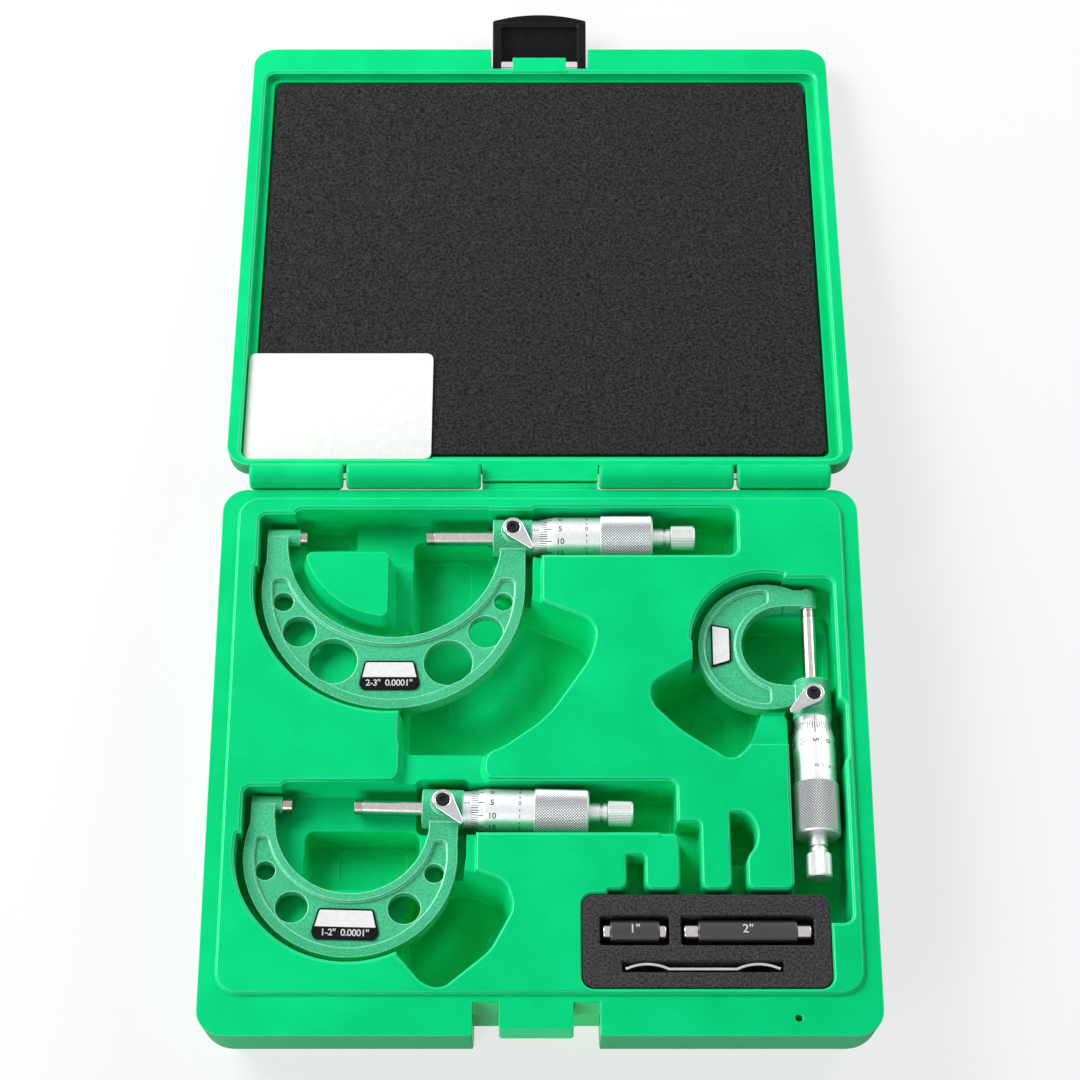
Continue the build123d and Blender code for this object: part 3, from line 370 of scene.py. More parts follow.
# A stepped strip closes the rear edge between the lid's knuckles, clear of the turning tab
for reach, top in ((123.8, 40.1), (127.0, 37.0)):
    strip_plan = four_corners(-24.6, 24.6, 119.0, reach)
    blocks.append(moulded_space("strip", strip_plan, 0, ((0, top), (0, 34.0))))

# The front notches' inner corners are filled out round, and their outer ones are cut round below
for x, side in ((-26.65, 1), (-16.15, -1), (13.25, 1), (23.75, -1)):
    blocks.append(moulded_space(
        "corner", round_corner(x, notch_back, side, -1, 1.4), 0, ((0, rim - 0.3), (0, 26.0))))
worked_in(base_moulding, blocks, "UNION")

# Then the finger wells, pit, shelves, slots and the link are drawn down, each with its own draft
well_steps = ((0, plateau + 1), (0, plateau), (lip, plateau - lip), (2.2, finger_floor + 2.4),
              (0.3, finger_floor + 0.9), (0.8, finger_floor))
shelf_steps = ((0, plateau + 1), (0, plateau), (lip, plateau - lip), (0.2, plateau - 3.2))
pit_steps = ((0, plateau + 1), (0, plateau), (lip, plateau - lip), (1.0, 22.9), (0.6, 22.0))
slot_steps = ((0, plateau + 1), (0, plateau), (lip, plateau - lip), (0.8, plateau - 12))
link_steps = ((0, plateau + 1), (0, plateau), (lip, plateau - lip), (1.5, plateau - 4))
pad_steps = ((0, finger_floor + 1), (0, finger_floor - 0.5))
drawn = (
    ("large", ((41, -39), (79, -22), (97.5, -33), (122.8, -43.5), (121, -58), (102, -86.5),
               (80, -102.6), (41, -102.6)), 7.2, well_steps),
    ("large", four_corners(44, 81, -51.2, 1.5), 6.0, well_steps),
    ("large", four_corners(-2.2, 21.8, -4.5, 8.6), 3.0, pit_steps),
    ("large", four_corners(90, 99.7, -35.5, -9), 3.0, shelf_steps),
    ("large", four_corners(51.6, 69.5, -22.2, -4.2), 3.0, pad_steps),
    ("large", four_corners(61.4, 87.7, -76.2, -60.1), 3.0, pad_steps),
    ("medium", ((46.4, -34), (70, -29.5), (87, -35.8), (90.3, -47), (81, -65), (62, -80.8),
                (54.5, -78.8), (44, -66)), 3.6, well_steps),
    ("medium", four_corners(3.9, 53.4, -36, -8.5), 6.0, well_steps),
    ("medium", four_corners(64, 75, -33, -10), 3.0, shelf_steps),
    ("medium", four_corners(19.1, 46.1, -28.3, -13.5), 3.0, pad_steps),
    ("small", ((22, -40), (27, -52), (36.5, -66.8), (45, -66.8), (57.5, -54.5), (70.8, -34.5),
               (64.5, -27), (50, -21), (22, -22.8)), 4.0, well_steps),
    ("small", four_corners(-0.5, 32.1, -29, 10), 6.0, well_steps),
    ("small", four_corners(49, 63.4, -28.8, -9.8), 3.0, shelf_steps),
    ("small", four_corners(12, 23.2, -18.2, -1), 3.0, pad_steps),
    ("small", four_corners(39.7, 52.7, -49.1, -36.1), 4.4, pad_steps),
)
spaces = []
for size, plan, rounding, steps in drawn:
    mouth = plan if steps is pad_steps else grown(plan, lip)
    spaces.append(moulded_space("space", mouth, rounding, steps, bow_places[size]))
slot_plan = (
    (26.8, -65.5), (26.8, -60.3), (34.7, -60.3), (34.7, -45.7), (42.1, -45.7), (42.1, -60.3),
    (56.1, -60.3), (56.1, -36.6), (47.8, -36.6), (47.8, -31.5), (64.8, -31.5), (64.8, -60.3),
    (76.8, -60.3), (76.8, -27.3), (83.1, -27.3), (86.6, -31.3), (87.7, -36.9), (86.6, -42.5),
    (83.1, -46.5), (83.1, -60.3), (101.8, -60.3), (101.8, -50.5), (111.8, -50.5), (111.8, -65.5))
spaces.append(moulded_space("space", grown(slot_plan, lip), 2.3, slot_steps))
deep_plan = (
    (77.3, -27.8), (82.9, -27.8), (86.2, -31.5), (87.2, -36.9), (86.2, -42.3), (82.9, -46.0),
    (77.3, -46.0))
spaces.append(moulded_space("space", deep_plan, 1.5, ((0, 31.0), (0, 30.0), (0.6, 22.0))))
link_plan = (
    (-57.4, 6.6), (-18.6, 6.6), (-18.6, 0.6), (-22.6, -3.4), (-22.6, -11.0), (-18.6, -15.0),
    (-18.6, -22.0), (-61.4, -22.0), (-61.4, -15.0), (-57.4, -11.0))
spaces.append(moulded_space("space", grown(link_plan, lip), 2.0, link_steps))
for x, y, side in (
        (-26.65, front_face, -1), (-16.15, tongue_face, 1),
        (13.25, tongue_face, -1), (23.75, front_face, 1)):
    spaces.append(moulded_space(
        "corner", round_corner(x, y, side, 1, 1.2), 0, ((0, rim + 2), (0, -1.0))))
worked_in(base_moulding, spaces, "DIFFERENCE")
open_alone(base_moulding)
bpy.ops.mesh.remove_doubles(threshold=2e-5)
bpy.ops.mesh.select_all(action="SELECT")
bpy.ops.mesh.quads_convert_to_tris(ngon_method="BEAUTY")
grain_top = 0.0394
bpy.ops.mesh.bisect(plane_co=(0, 0, grain_top), plane_no=(0, 0, 1))
bpy.ops.object.mode_set(mode="OBJECT")
dress(base_moulding, smooth_green, grained_green, painted_highlight_green)
soften(base_moulding, 0.0003, segments=3, edge_slot=2)
zone_plastic(
    base_moulding, Matrix(), hinge=(0.1268, 0.0405), reach_x=0.1335, low_y=-0.1190, high_y=0.1190,
    top=grain_top - 0.0001)
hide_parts("base_shell")
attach(base_moulding, "case")

# ================================================================ lid
# The upper half, moulded the same way and much shallower. It lies open on the table, turned back
# on two pairs of knuckles, and carries the latch in a notch of its far edge.
lid_place = Matrix.Translation((0, 0.1268, 0.0405)) @ Matrix.Rotation(radians(-6.890937), 4, "X")
lid_moulding = worked_copy("lid_shell", "lid_moulding")
dress(lid_moulding, smooth_green, grained_green, painted_highlight_green)
soften(lid_moulding, 0.0004, segments=3, edge_slot=2)
zone_plastic(
    lid_moulding, lid_place, hinge=(0.0, 0.0), reach_x=0.1335, low_y=0.0072, high_y=0.2460,
    top=-0.0012)
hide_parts("lid_shell")
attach(lid_moulding, "lid")


# ================================================================ metals
# Chromium-plated and satin-blasted steel on the heads, ground and lapped steel on the spindles,
# bright drawn wire for the hinge pins. The satin is fine blasting, the ground steel carries turned
# lines round its axis too fine to see singly.
def metal(name, colour, rough):
    """A new material for one bare or plated metal."""
    material = bpy.data.materials.new(name)
    material.use_nodes = True
    shader = material.node_tree.nodes["Principled BSDF"]
    shader.inputs["Base Color"].default_value = linear(colour)
    shader.inputs["Metallic"].default_value = 1.0
    shader.inputs["Roughness"].default_value = rough
    return material, shader


# Satin chrome: pale, blasted matt before plating, grit about 0.15 mm
satin_chrome, satin_shader = metal("satin_chromed_steel", "#D2D4D6", 0.5)
satin_where = tinted(satin_chrome, satin_shader, "#CDCFD1", "#D7D9DB", 0.0012)
bumped(satin_chrome, satin_shader, satin_where, 0.00025, 0.000003, 0.3)

# Polished chrome on the lock levers and the spanner, with faint polishing unevenness
bright_chrome, bright_shader = metal("polished_chrome", "#C2C4C5", 0.24)
bright_where = tinted(bright_chrome, bright_shader, "#BDBFC0", "#C8CACB", 0.003)
bumped(bright_chrome, bright_shader, bright_where, 0.002, 0.00002, 0.2)

# Ground hardened steel: warm grey, mirror-like along the bar
ground_steel, ground_shader = metal("ground_steel", "#CFC8C4", 0.2)
ground_where = tinted(ground_steel, ground_shader, "#BFB9B6", "#C9C4C1", 0.0015)
bumped(ground_steel, ground_shader, ground_where, 0.0003, 0.000002, 0.2)

# Tungsten carbide, lapped flat: darker and warmer than the steel it is brazed to
carbide, carbide_shader = metal("lapped_carbide", "#A79C97", 0.24)
carbide_where = tinted(carbide, carbide_shader, "#9D928D", "#B3A8A3", 0.0006)
bumped(carbide, carbide_shader, carbide_where, 0.0003, 0.000002, 0.2)

# Brass of the threaded bushes and adjusting nuts inside the heads
bush_brass, brass_shader = metal("turned_brass", "#C9A45C", 0.32)
tinted(bush_brass, brass_shader, "#BF9950", "#D2AF69", 0.001)

# Black oxide on the lock screws: almost black, oily sheen
black_oxide, oxide_shader = metal("blackened_steel", "#2A2A2C", 0.3)
oxide_where = tinted(black_oxide, oxide_shader, "#202022", "#36363A", 0.0008)
bumped(black_oxide, oxide_shader, oxide_where, 0.0004, 0.00001, 0.2)

dress(nodes["hinge_pins"], ground_steel)
dress(nodes["latch_pin"], ground_steel)

# ================================================================ latch
# A black nylon tray that swings on a pin in the lid's notch: two arms, a front plate, a bar that
# hooks under the base's tongue, and a curved lip for the thumb. Injection-moulded, satin.
black_nylon, nylon_shader = plastic("black_nylon", "#101012", 0.4, 0.12)
nylon_where = tinted(black_nylon, nylon_shader, "#0D0D0F", "#151517", 0.004)
bumped(black_nylon, nylon_shader, nylon_where, 0.0005, 0.00003, 0.3)
latch_tray = worked_copy("latch", "latch_tray")
soften(latch_tray, 0.0005, segments=3)
dress(latch_tray, black_nylon)
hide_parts("latch")
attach(latch_tray, "latch")

# ================================================================ foams
# Charcoal polyurethane foam: a cut sheet in the lid, and a block with cut-outs for the setting
# standards and the spanner. Open cells about half a millimetre across make it speckled and matt.
lid_foam_stuff, lid_foam_shader = plastic("lid_foam", "#2A2A2B", 0.95, 0.02)
lid_foam_where = tinted(lid_foam_stuff, lid_foam_shader, "#1B1B1C", "#424243", 0.0011, 8.0)
bumped(lid_foam_stuff, lid_foam_shader, lid_foam_where, 0.0009, 0.0006, 0.6)
insert_stuff, insert_shader = plastic("insert_foam", "#383739", 0.95, 0.08)
insert_where = tinted(insert_stuff, insert_shader, "#29282A", "#555457", 0.0009, 8.0)
bumped(insert_stuff, insert_shader, insert_where, 0.0007, 0.0006, 0.6)
for node, name, body, stuff in (
        ("lid_foam", "lid_foam_sheet", "lid", lid_foam_stuff),
        ("insert_foam", "insert_block", "case", insert_stuff)):
    foam = worked_copy(node, name)
    soften(foam, 0.0006, segments=3)
    dress(foam, stuff)
    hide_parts(node)
    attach(foam, body)

# ================================================================ card
# A thin card of white coated paper with rounded corners, lying loose on the lid's foam.
white_paper, paper_shader = plastic("coated_paper", "#F3F3F2", 0.5, 0.1)
paper_where = tinted(white_paper, paper_shader, "#F0F0EF", "#F6F6F5", 0.002)
bumped(white_paper, paper_shader, paper_where, 0.0004, 0.00002, 0.3)
paper_card = worked_copy("card", "paper_card")
soften(paper_card, 0.0001)
dress(paper_card, white_paper)
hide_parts("card")
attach(paper_card, "card")

# ================================================================ setting standards and spanner
# Hardened steel gauge rods with lapped ends, each in a black sleeve that keeps the hand's warmth
# off it, printed with its length. The spanner is a bent strip of plated spring steel.

# Black baked lacquer, smoother than moulded nylon: a broad pale sheen along each sleeve
black_lacquer, lacquer_shader = plastic("black_lacquer", "#0E0E10", 0.3, 0.9)
lacquer_where = tinted(black_lacquer, lacquer_shader, "#0B0B0D", "#131315", 0.003)
bumped(black_lacquer, lacquer_shader, lacquer_where, 0.001, 0.00001, 0.2)
for name in ("short", "long"):
    body = name + "_standard"
    gauge = worked_copy(name + "_standard_rod", name + "_gauge_rod")
    soften(gauge, 0.0002)
    dress(gauge, ground_steel)
    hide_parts(name + "_standard_rod")
    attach(gauge, body)
    grip = worked_copy(name + "_standard_sleeve", name + "_gauge_sleeve")
    soften(grip, 0.0003)
    dress(grip, black_lacquer)
    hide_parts(name + "_standard_sleeve")
    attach(grip, body)

# Screen-printed white ink, matt and a little uneven
white_ink, white_ink_shader = plastic("white_ink", "#D9D9D9", 0.6, 0.2)
tinted(white_ink, white_ink_shader, "#D0D0D0", "#E2E2E2", 0.0008)


def flat_words(name, words, height, at, ink, bolder=0.0, spacing=1.0):
    """Printed words as a thin flat mesh, centred on a point of its sheet."""
    bpy.ops.object.select_all(action="DESELECT")
    bpy.ops.object.text_add(location=(0, 0, 0))
    text = bpy.context.active_object
    text.name = name
    text.data.body = words
    text.data.align_x = "CENTER"
    text.data.align_y = "CENTER"
    text.data.size = height / 0.7
    text.data.resolution_u = 4
    text.data.offset = bolder
    text.data.space_character = spacing
    bpy.ops.object.convert(target="MESH")
    sheet = bpy.context.active_object
    sheet.data.transform(Matrix.Translation((at[0], at[1], 0)))
    dress(sheet, ink)
    return sheet


def cut_across(sheet, low, high, step):
    """Cuts a flat sheet across its Y so that it can bend."""
    open_alone(sheet)
    at = low
    while at < high:
        bpy.ops.mesh.select_all(action="SELECT")
        bpy.ops.mesh.bisect(plane_co=(0, at, 0), plane_no=(0, 1, 0))
        at += step
    bpy.ops.object.mode_set(mode="OBJECT")


def on_drum(sheet, radius, slope=0.0):
    """Wraps a flat sheet round the X axis: its Y runs round the drum from the top."""
    for vertex in sheet.data.vertices:
        along, across, up = vertex.co
        out = radius + slope * along + up
        vertex.co = (along, sin(across / radius) * out, cos(across / radius) * out)


gauge_sleeve_radius = 0.0048
print_lift = 0.00003
for name, words, x in (("short", "1\"", 0.0376), ("long", "2\"", 0.0825)):
    print_size = flat_words(name + "_gauge_size", words, 0.0036, (0, 0), white_ink, 0.00006)
    cut_across(print_size, -0.0020, 0.0021, 0.0004)
    on_drum(print_size, gauge_sleeve_radius + print_lift)
    print_size.data.transform(Matrix.Translation((x, -0.0776, 0.0385)))
    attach(print_size, name + "_standard")

strip = worked_copy("spanner", "spanner_strip")
soften(strip, 0.0002)
dress(strip, bright_chrome)
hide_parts("spanner")
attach(strip, "spanner")

# ================================================================ micrometer frames
# Drop-forged steel bows with a sunk web and lightening holes, finished in green hammertone enamel:
# it dries in speckles about half a millimetre across, and a paler line on the top edges is a
# painted highlight.

# The enamel's flecks are two greens close together, mixed finely
hammertone, hammer_shader = plastic("green_hammertone_enamel", "#45C791", 0.38, 0.25)
hammer_where = add_node(hammertone, "TexCoord")
flecks = add_node(
    hammertone, "TexNoise",
    {"Vector": hammer_where.outputs["Object"], "Scale": 1500, "Detail": 4.0, "Roughness": 0.65})
fleck_shades = add_node(hammertone, "ValToRGB", {"Fac": flecks.outputs["Fac"]})
fleck_shades.color_ramp.elements[0].position = 0.3
fleck_shades.color_ramp.elements[0].color = linear("#2BA873")
fleck_shades.color_ramp.elements[1].position = 0.62
fleck_shades.color_ramp.elements[1].color = linear("#52D09C")
hammertone.node_tree.links.new(fleck_shades.outputs["Color"], hammer_shader.inputs["Base Color"])
bumped(hammertone, hammer_shader, hammer_where, 0.0008, 0.00006, 0.3)

# On the top edges the enamel is glossy and painted pale as a highlight
painted_highlight_enamel, painted_highlight_enamel_shader = plastic("enamel_painted_highlight", "#8FE8C2", 0.25, 0.5)
painted_highlight_enamel_where = tinted(painted_highlight_enamel, painted_highlight_enamel_shader, "#7FDFB6", "#A0EFCE", 0.002)
bumped(painted_highlight_enamel, painted_highlight_enamel_shader, painted_highlight_enamel_where, 0.0008, 0.00004, 0.2)

# The micrometers' axes lie above the bows' places; the medium one leans a little in its pocket
axis_height = Matrix.Translation((0, 0, 0.0325))
places = {size: axis_height @ place for size, place in bow_places.items()}
places["medium"] = places["medium"] @ Matrix.Rotation(radians(-1.59), 4, "Z")
head_starts = {"large": 0.0790, "medium": 0.0530, "small": 0.0330}
boss_length = 0.0167
sleeve_exposed = 0.0031
bow_upper = 0.0340

for size in places:
    bow = worked_copy(size + "_frame", size + "_bow")
    dress(bow, hammertone, painted_highlight_enamel)
    soften(bow, 0.0004, segments=3, over=38, edge_slot=1)
    # The pale painted highlight is kept only on roundings of the top that face upward
    for face in bow.data.polygons:
        on_top = face.center.z > bow_upper and face.normal.z > 0.3
        if not on_top:
            face.material_index = 0
    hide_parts(size + "_frame")
    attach(bow, size + "_micrometer")

# ================================================================ name plates
# Enamelled steel plates in the frames' hollows: a black rim, a white field left plain, and on the
# two larger ones a black band with the measuring range.

# Fired enamel, glossy in white and satin in black
plate_white, plate_white_shader = plastic("white_enamel", "#F1F1F1", 0.25, 0.5)
plate_white_where = tinted(plate_white, plate_white_shader, "#EDEDED", "#F6F6F6", 0.002)
bumped(plate_white, plate_white_shader, plate_white_where, 0.001, 0.00002, 0.2)
plate_black, plate_black_shader = plastic("black_enamel", "#0C0C0E", 0.3, 0.12)
tinted(plate_black, plate_black_shader, "#0B0B0C", "#131315", 0.002)
plates = {
    "large": (
        (25.9, -58.7), (46.7, -58.7), (49.2, -69.4), (47.6, -71.8), (25.2, -71.8), (23.7, -69.4)),
    "medium": (
        (13.4, -44.8), (35.6, -44.8), (38.2, -55.0), (36.8, -57.8), (12.4, -57.8), (10.9, -55.0)),
    "small": ((6.8, -41.4), (8.4, -33.0), (24.0, -33.0), (26.6, -41.4)),
}

# Where each plate's band begins: the small plate has none, so its line lies far outside it
plate_bands = {"large": -0.0662, "medium": -0.0526, "small": -1.0}
plate_words = {"large": "2-3\"  0.0001\"", "medium": "1-2\"  0.0001\"", "small": None}
plate_seat = 0.0025
plate_edge = 0.0006
plate_crown = 0.0001
plate_face = plate_seat + plate_edge + plate_crown
for size, corners in plates.items():
    bpy.ops.object.select_all(action="DESELECT")
    bpy.ops.mesh.primitive_circle_add(vertices=len(corners), radius=0.01, fill_type="NGON")
    plate = bpy.context.active_object
    plate.name = size + "_plate"
    for vertex, (x, y) in zip(plate.data.vertices, corners):
        vertex.co = (x / 1000, y / 1000, plate_seat)
    open_alone(plate)
    bpy.ops.mesh.bevel(offset=0.0011, segments=4, affect="VERTICES")
    bpy.ops.mesh.select_all(action="SELECT")
    bpy.ops.mesh.extrude_region_move(TRANSFORM_OT_translate={"value": (0, 0, plate_edge)})
    bpy.ops.mesh.inset(thickness=0.0008)
    bpy.ops.transform.translate(value=(0, 0, plate_crown))
    bpy.ops.mesh.select_all(action="SELECT")
    bpy.ops.mesh.bisect(plane_co=(0, plate_bands[size], 0), plane_no=(0, 1, 0))
    bpy.ops.mesh.select_all(action="SELECT")
    bpy.ops.mesh.normals_make_consistent(inside=False)
    bpy.ops.object.mode_set(mode="OBJECT")
    dress(plate, plate_black, plate_white)
    for face in plate.data.polygons:
        level = face.normal.z > 0.998 and face.center.z > plate_face - 0.00002
        if level and face.center.y > plate_bands[size]:
            face.material_index = 1
    plate.data.transform(places[size])
    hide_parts(size + "_name_plate")
    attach(plate, size + "_micrometer")
    if plate_words[size]:
        low = corners[4][1] / 1000
        middle = ((corners[0][0] + corners[1][0]) / 2000, (low + plate_bands[size]) / 2 + 0.0001)
        range_print = flat_words(
            size + "_plate_range", plate_words[size], 0.0028, middle, white_ink, 0.00006, 0.93)
        range_print.data.transform(places[size] @ Matrix.Translation((0, 0, plate_face + 0.00002)))
        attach(range_print, size + "_micrometer")

# ================================================================ anvils, spindles, levers, screws
# Ground spindles with carbide faces brazed on, fixed anvils the same, and on each boss a plated
# teardrop lever that turns on a black socket screw to lock the spindle.
for size in places:
    for part, body, stuff, edge, slot in (
            ("anvil", "micrometer", carbide, 0.00015, "carbide"),
            ("spindle", "spindle_body", ground_steel, 0.00012, "ground_steel"),
            ("spindle_tip", "spindle_body", carbide, 0.00015, "carbide"),
            ("lock_lever", "lever", bright_chrome, 0.0006, "satin_chrome"),
            ("lock_screw", "micrometer", black_oxide, 0.00025, "black_steel")):
        node = size + "_" + part
        piece = worked_copy(node, node + "_finished")
        soften(piece, edge, segments=3, over=38)
        dress(piece, stuff)
        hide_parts(node)
        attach(piece, size + "_" + body)
    dress(nodes[size + "_bush"], bush_brass)
    dress(nodes[size + "_adjusting_nut"], bush_brass)
    dress(nodes[size + "_sleeve"], satin_chrome)

# ================================================================ thimbles
# The turned sleeve that is held to read and move the spindle: a bevelled edge cut with fifty marks
# and their numbers, a plain barrel, and a band of diamond knurl. Satin chrome, marks filled black.

# The knurl's diamonds are drawn a little coarser than the real half millimetre, so that they show
knurl_around = 100
knurl_step = 0.0006
knurl_from = 0.0262
knurl_rows = 35
knurl_low = 0.00924
knurl_high = 0.0096


def spun(name, profile, around):
    """A closed solid spun about the X axis from (along, out) points in millimetres."""
    bpy.ops.object.select_all(action="DESELECT")
    bpy.ops.mesh.primitive_circle_add(vertices=len(profile), radius=0.001)
    piece = bpy.context.active_object
    piece.name = name
    for vertex, (along, out) in zip(piece.data.vertices, profile):
        vertex.co = (along / 1000, 0, out / 1000)
    open_alone(piece)
    bpy.ops.mesh.spin(
        steps=around, angle=2 * pi, center=(0, 0, 0), axis=(1, 0, 0), use_auto_merge=False)
    bpy.ops.mesh.select_all(action="SELECT")
    bpy.ops.mesh.remove_doubles(threshold=1e-6)
    bpy.ops.mesh.normals_make_consistent(inside=False)
    bpy.ops.object.mode_set(mode="OBJECT")
    return piece


def around_at(vertex):
    """How far round the X axis a point lies, as a fraction of a turn."""
    return (atan2(vertex.co.y, vertex.co.z) / (2 * pi)) % 1.0


def knurl_row(vertex):
    """The row of the knurl that a point of the thimble lies on, or -1 for none."""
    row = (vertex.co.x - knurl_from) / knurl_step
    return row if -0.1 < row < knurl_rows + 0.1 and vertex.co.yz.length > 0.0091 else -1


front_points = [
    (0, 7.56), (0, 7.68), (0.1, 7.77), (6.1, 8.78), (6.4, 8.8), (25.3, 8.8), (25.45, 8.7),
    (25.7, 8.7), (25.8, 9.1)]
knurl_points = [
    (1000 * (knurl_from + i * knurl_step), 1000 * knurl_low) for i in range(knurl_rows + 1)]
rear_points = [(47.4, 9.2), (48.0, 8.7), (48.1, 8.5), (48.1, 1.86), (42.0, 1.86), (42.0, 7.56)]
thimble_model = spun("thimble_model", front_points + knurl_points + rear_points, knurl_around)
open_alone(thimble_model, "DESELECT")
bpy.ops.object.mode_set(mode="OBJECT")
for vertex in thimble_model.data.vertices:
    row = knurl_row(vertex)
    column = around_at(vertex) * knurl_around
    vertex.select = row > -1 and (round(row) + round(column)) % 2 == 0
bpy.ops.object.mode_set(mode="EDIT")
bpy.ops.transform.resize(
    value=(1, knurl_high / knurl_low, knurl_high / knurl_low), center_override=(0, 0, 0))
bpy.ops.mesh.select_all(action="SELECT")
bpy.ops.mesh.quads_convert_to_tris(quad_method="SHORTEST_DIAGONAL")
bpy.ops.object.mode_set(mode="OBJECT")
bpy.ops.object.shade_smooth_by_angle(angle=radians(24))
groove = thimble_model.data.attributes.new("groove", "FLOAT", "POINT")
for vertex in thimble_model.data.vertices:
    in_groove = knurl_row(vertex) > -1 and vertex.co.yz.length < 0.0093
    groove.data[vertex.index].value = float(in_groove)

# The same satin chrome on the knurl, with painted shade darkening its rolled grooves
knurled_chrome, knurled_shader = metal("knurled_satin_chrome", "#D2D4D6", 0.46)
groove_depth = add_node(knurled_chrome, "Attribute", attribute_name="groove")
groove_painted_shade = add_node(knurled_chrome, "ValToRGB", {"Fac": groove_depth.outputs["Fac"]})
groove_painted_shade.color_ramp.elements[0].position = 0.3
groove_painted_shade.color_ramp.elements[0].color = linear("#E4E6E8")
groove_painted_shade.color_ramp.elements[1].position = 0.95
groove_painted_shade.color_ramp.elements[1].color = linear("#56585B")
knurled_chrome.node_tree.links.new(
    groove_painted_shade.outputs["Color"], knurled_shader.inputs["Base Color"])
knurled_where = add_node(knurled_chrome, "TexCoord")
bumped(knurled_chrome, knurled_shader, knurled_where, 0.00025, 0.000003, 0.3)

# Black paint rubbed into the engraved marks, matt. The lines are a little wider than real ones,
# so that they show
black_fill, black_fill_shader = plastic("black_filled_marks", "#161618", 0.6, 0.1)
tinted(black_fill, black_fill_shader, "#121214", "#1E1E20", 0.0006)


def tick(name, start, end, across, width):
    """One short line on a flat sheet, along X."""
    bpy.ops.object.select_all(action="DESELECT")
    bpy.ops.mesh.primitive_plane_add(size=1)
    line = bpy.context.active_object
    line.name = name
    middle = Matrix.Translation(((start + end) / 2, across, 0))
    line.data.transform(middle @ Matrix.Diagonal((end - start, width, 1, 1)))
    dress(line, black_fill)
    return line


def joined(pieces, name):
    """Several flat sheets as one."""
    bpy.ops.object.select_all(action="DESELECT")
    for piece in pieces:
        piece.select_set(True)
    bpy.context.view_layer.objects.active = pieces[0]
    bpy.ops.object.join()
    pieces[0].name = name
    return pieces[0]


edge_radius = 0.00775
barrel_radius = 0.0088
edge_slope = 0.1694
tick_lift = 0.00002
lines = []
for mark in range(50):
    long_line = mark % 5 == 0
    across = -(mark - 5) * 2 * pi * edge_radius / 50
    lines.append(tick("line", 0.0002, 0.0053 if long_line else 0.0032, across, 0.0003))
edge_lines = joined(lines, "edge_lines")
on_drum(edge_lines, edge_radius + tick_lift, edge_slope)
numbers = []
for group in range(10):
    across = -(group - 1) * 2 * pi * barrel_radius / 10
    number = flat_words("number", str(group * 5), 0.0024, (0.0088, 0), black_fill, 0.00004)
    cut_across(number, -0.0012, 0.0013, 0.0004)
    number.data.transform(Matrix.Translation((0, across, 0)))
    numbers.append(number)
    digit = flat_words("digit", str((group + 9) % 10), 0.0018, (0.0200, 0), black_fill)
    cut_across(digit, -0.0010, 0.0011, 0.0004)
    digit.data.transform(Matrix.Translation((0, across, 0)))
    numbers.append(digit)
    numbers.append(tick("line", 0.0198, 0.0202, across + 0.0026, 0.0008))
barrel_numbers = joined(numbers, "barrel_numbers")
on_drum(barrel_numbers, barrel_radius + tick_lift)
marks_model = joined([edge_lines, barrel_numbers], "marks_model")


def copy_at(model, name, place):
    """A copy of a model with its own mesh, put in its place."""
    piece = bpy.data.objects.new(name, model.data.copy())
    bpy.context.scene.collection.objects.link(piece)
    piece.data.transform(place)
    return piece


dress(thimble_model, satin_chrome, knurled_chrome)
knurl_end = knurl_from + knurl_rows * knurl_step
for face in thimble_model.data.polygons:
    if knurl_from < face.center.x < knurl_end and face.center.yz.length > 0.009:
        face.material_index = 1
for size, place in places.items():
    thimble_start = head_starts[size] + boss_length + sleeve_exposed
    front = place @ Matrix.Translation((thimble_start, 0, 0))
    drum = copy_at(thimble_model, size + "_knurled_thimble", front)
    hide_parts(size + "_thimble")
    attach(drum, size + "_thimble_body")
    scale = copy_at(marks_model, size + "_thimble_scale", front)
    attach(scale, size + "_thimble_body")

# The sleeve under the thimble: its index line and the first marks of its own scale
sleeve_lines = [tick("line", 0.0001, 0.0031, 0.0, 0.00018)]
for mark in (0.00095, 0.0021):
    sleeve_lines.append(tick("line", mark, mark + 0.00018, 0.0012 / 2, 0.0012))
sleeve_scale_model = joined(sleeve_lines, "sleeve_scale_model")
on_drum(sleeve_scale_model, 0.0075 + tick_lift)
for size, place in places.items():
    scale = copy_at(
        sleeve_scale_model, size + "_sleeve_scale",
        place @ Matrix.Translation((head_starts[size] + boss_length, 0, 0)))
    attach(scale, size + "_micrometer")

# ================================================================ ratchets
# A plain grooved stem screws the thimble to the spindle and carries the ratchet: a finely knurled
# knob turned against a coil spring, so that the measuring force is always the same.
stem_model = spun(
    "stem_model",
    [(-14.1, 0.0), (-14.1, 1.8), (0.0, 1.8), (0.0, 3.9), (0.1, 4.0), (4.3, 4.0), (4.5, 3.8),
     (4.5, 3.3), (5.5, 3.3), (5.5, 3.8), (5.7, 4.0), (7.4, 4.0), (7.5, 3.9), (7.5, 2.0),
     (15.5, 2.0), (15.5, 0.0)], 48)
flutes = 96
knob_model = spun(
    "knob_model",
    [(0.15, 2.06), (0.15, 4.85), (0.5, 5.25), (9.6, 5.25), (10.35, 4.7), (10.5, 4.35),
     (10.65, 3.0), (10.8, 0.0), (8.9, 0.0), (8.9, 2.06), (6.5, 2.06), (6.5, 4.3), (1.15, 4.3),
     (1.15, 2.06)], flutes)
open_alone(knob_model, "DESELECT")
bpy.ops.object.mode_set(mode="OBJECT")
for vertex in knob_model.data.vertices:
    outside = vertex.co.yz.length > 0.0052
    vertex.select = outside and round(around_at(vertex) * flutes) % 2 == 0
bpy.ops.object.mode_set(mode="EDIT")
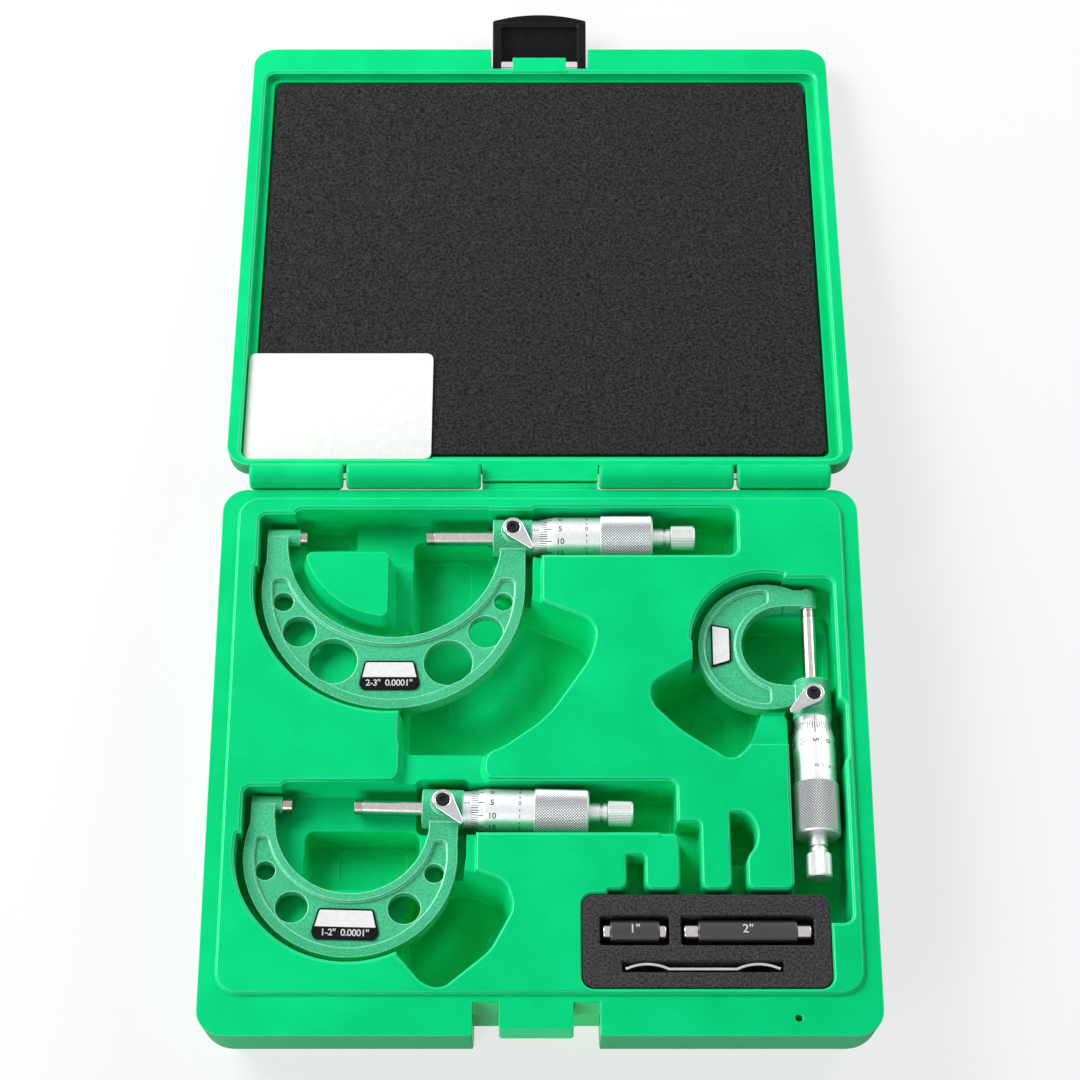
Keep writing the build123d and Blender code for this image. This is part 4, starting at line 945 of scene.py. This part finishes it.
bpy.ops.transform.resize(value=(1, 0.965, 0.965), center_override=(0, 0, 0))
bpy.ops.object.mode_set(mode="OBJECT")
for model in (stem_model, knob_model):
    take_up(model)
    bpy.ops.object.shade_smooth_by_angle(angle=radians(20))
    dress(model, satin_chrome)

wire_start = (0.0017, 0, 0.0037)
bpy.ops.object.select_all(action="DESELECT")
bpy.ops.mesh.primitive_circle_add(vertices=10, radius=0.0004, location=wire_start)
spring_model = bpy.context.active_object
spring_model.name = "spring_model"
open_alone(spring_model)
bpy.ops.transform.rotate(value=pi / 2, orient_axis="X", center_override=wire_start)
bpy.ops.object.mode_set(mode="OBJECT")
bpy.ops.object.transform_apply(location=True, rotation=True, scale=True)
coil = spring_model.modifiers.new("coil", "SCREW")
coil.axis = "X"
coil.angle = 2 * pi
coil.iterations = 4
coil.screw_offset = 0.00102
coil.steps = 28
coil.render_steps = 28
coil.use_normal_calculate = True
apply_all(spring_model)
open_alone(spring_model)
bpy.ops.mesh.fill_holes(sides=12)
bpy.ops.mesh.select_all(action="SELECT")
bpy.ops.mesh.normals_make_consistent(inside=False)
bpy.ops.object.mode_set(mode="OBJECT")
bpy.ops.object.shade_smooth_by_angle(angle=radians(50))
dress(spring_model, ground_steel)

thimble_length = 0.0481
stem_length = 0.0075
for size, place in places.items():
    thimble_end = head_starts[size] + boss_length + sleeve_exposed + thimble_length
    behind = place @ Matrix.Translation((thimble_end, 0, 0))
    knob_place = behind @ Matrix.Translation((stem_length, 0, 0))
    for model, name, spot, node, body, slot in (
            (stem_model, "_grooved_stem", behind,
             "_ratchet_stem", "_thimble_body", "satin_chrome"),
            (knob_model, "_knurled_knob", knob_place,
             "_ratchet_knob", "_ratchet", "satin_chrome"),
            (spring_model, "_coil_spring", knob_place,
             "_ratchet_spring", "_ratchet", "ground_steel")):
        piece = copy_at(model, size + name, spot)
        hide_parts(size + node)
        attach(piece, size + body)

for model in (thimble_model, marks_model, sleeve_scale_model, stem_model, knob_model, spring_model):
    bpy.data.objects.remove(model)
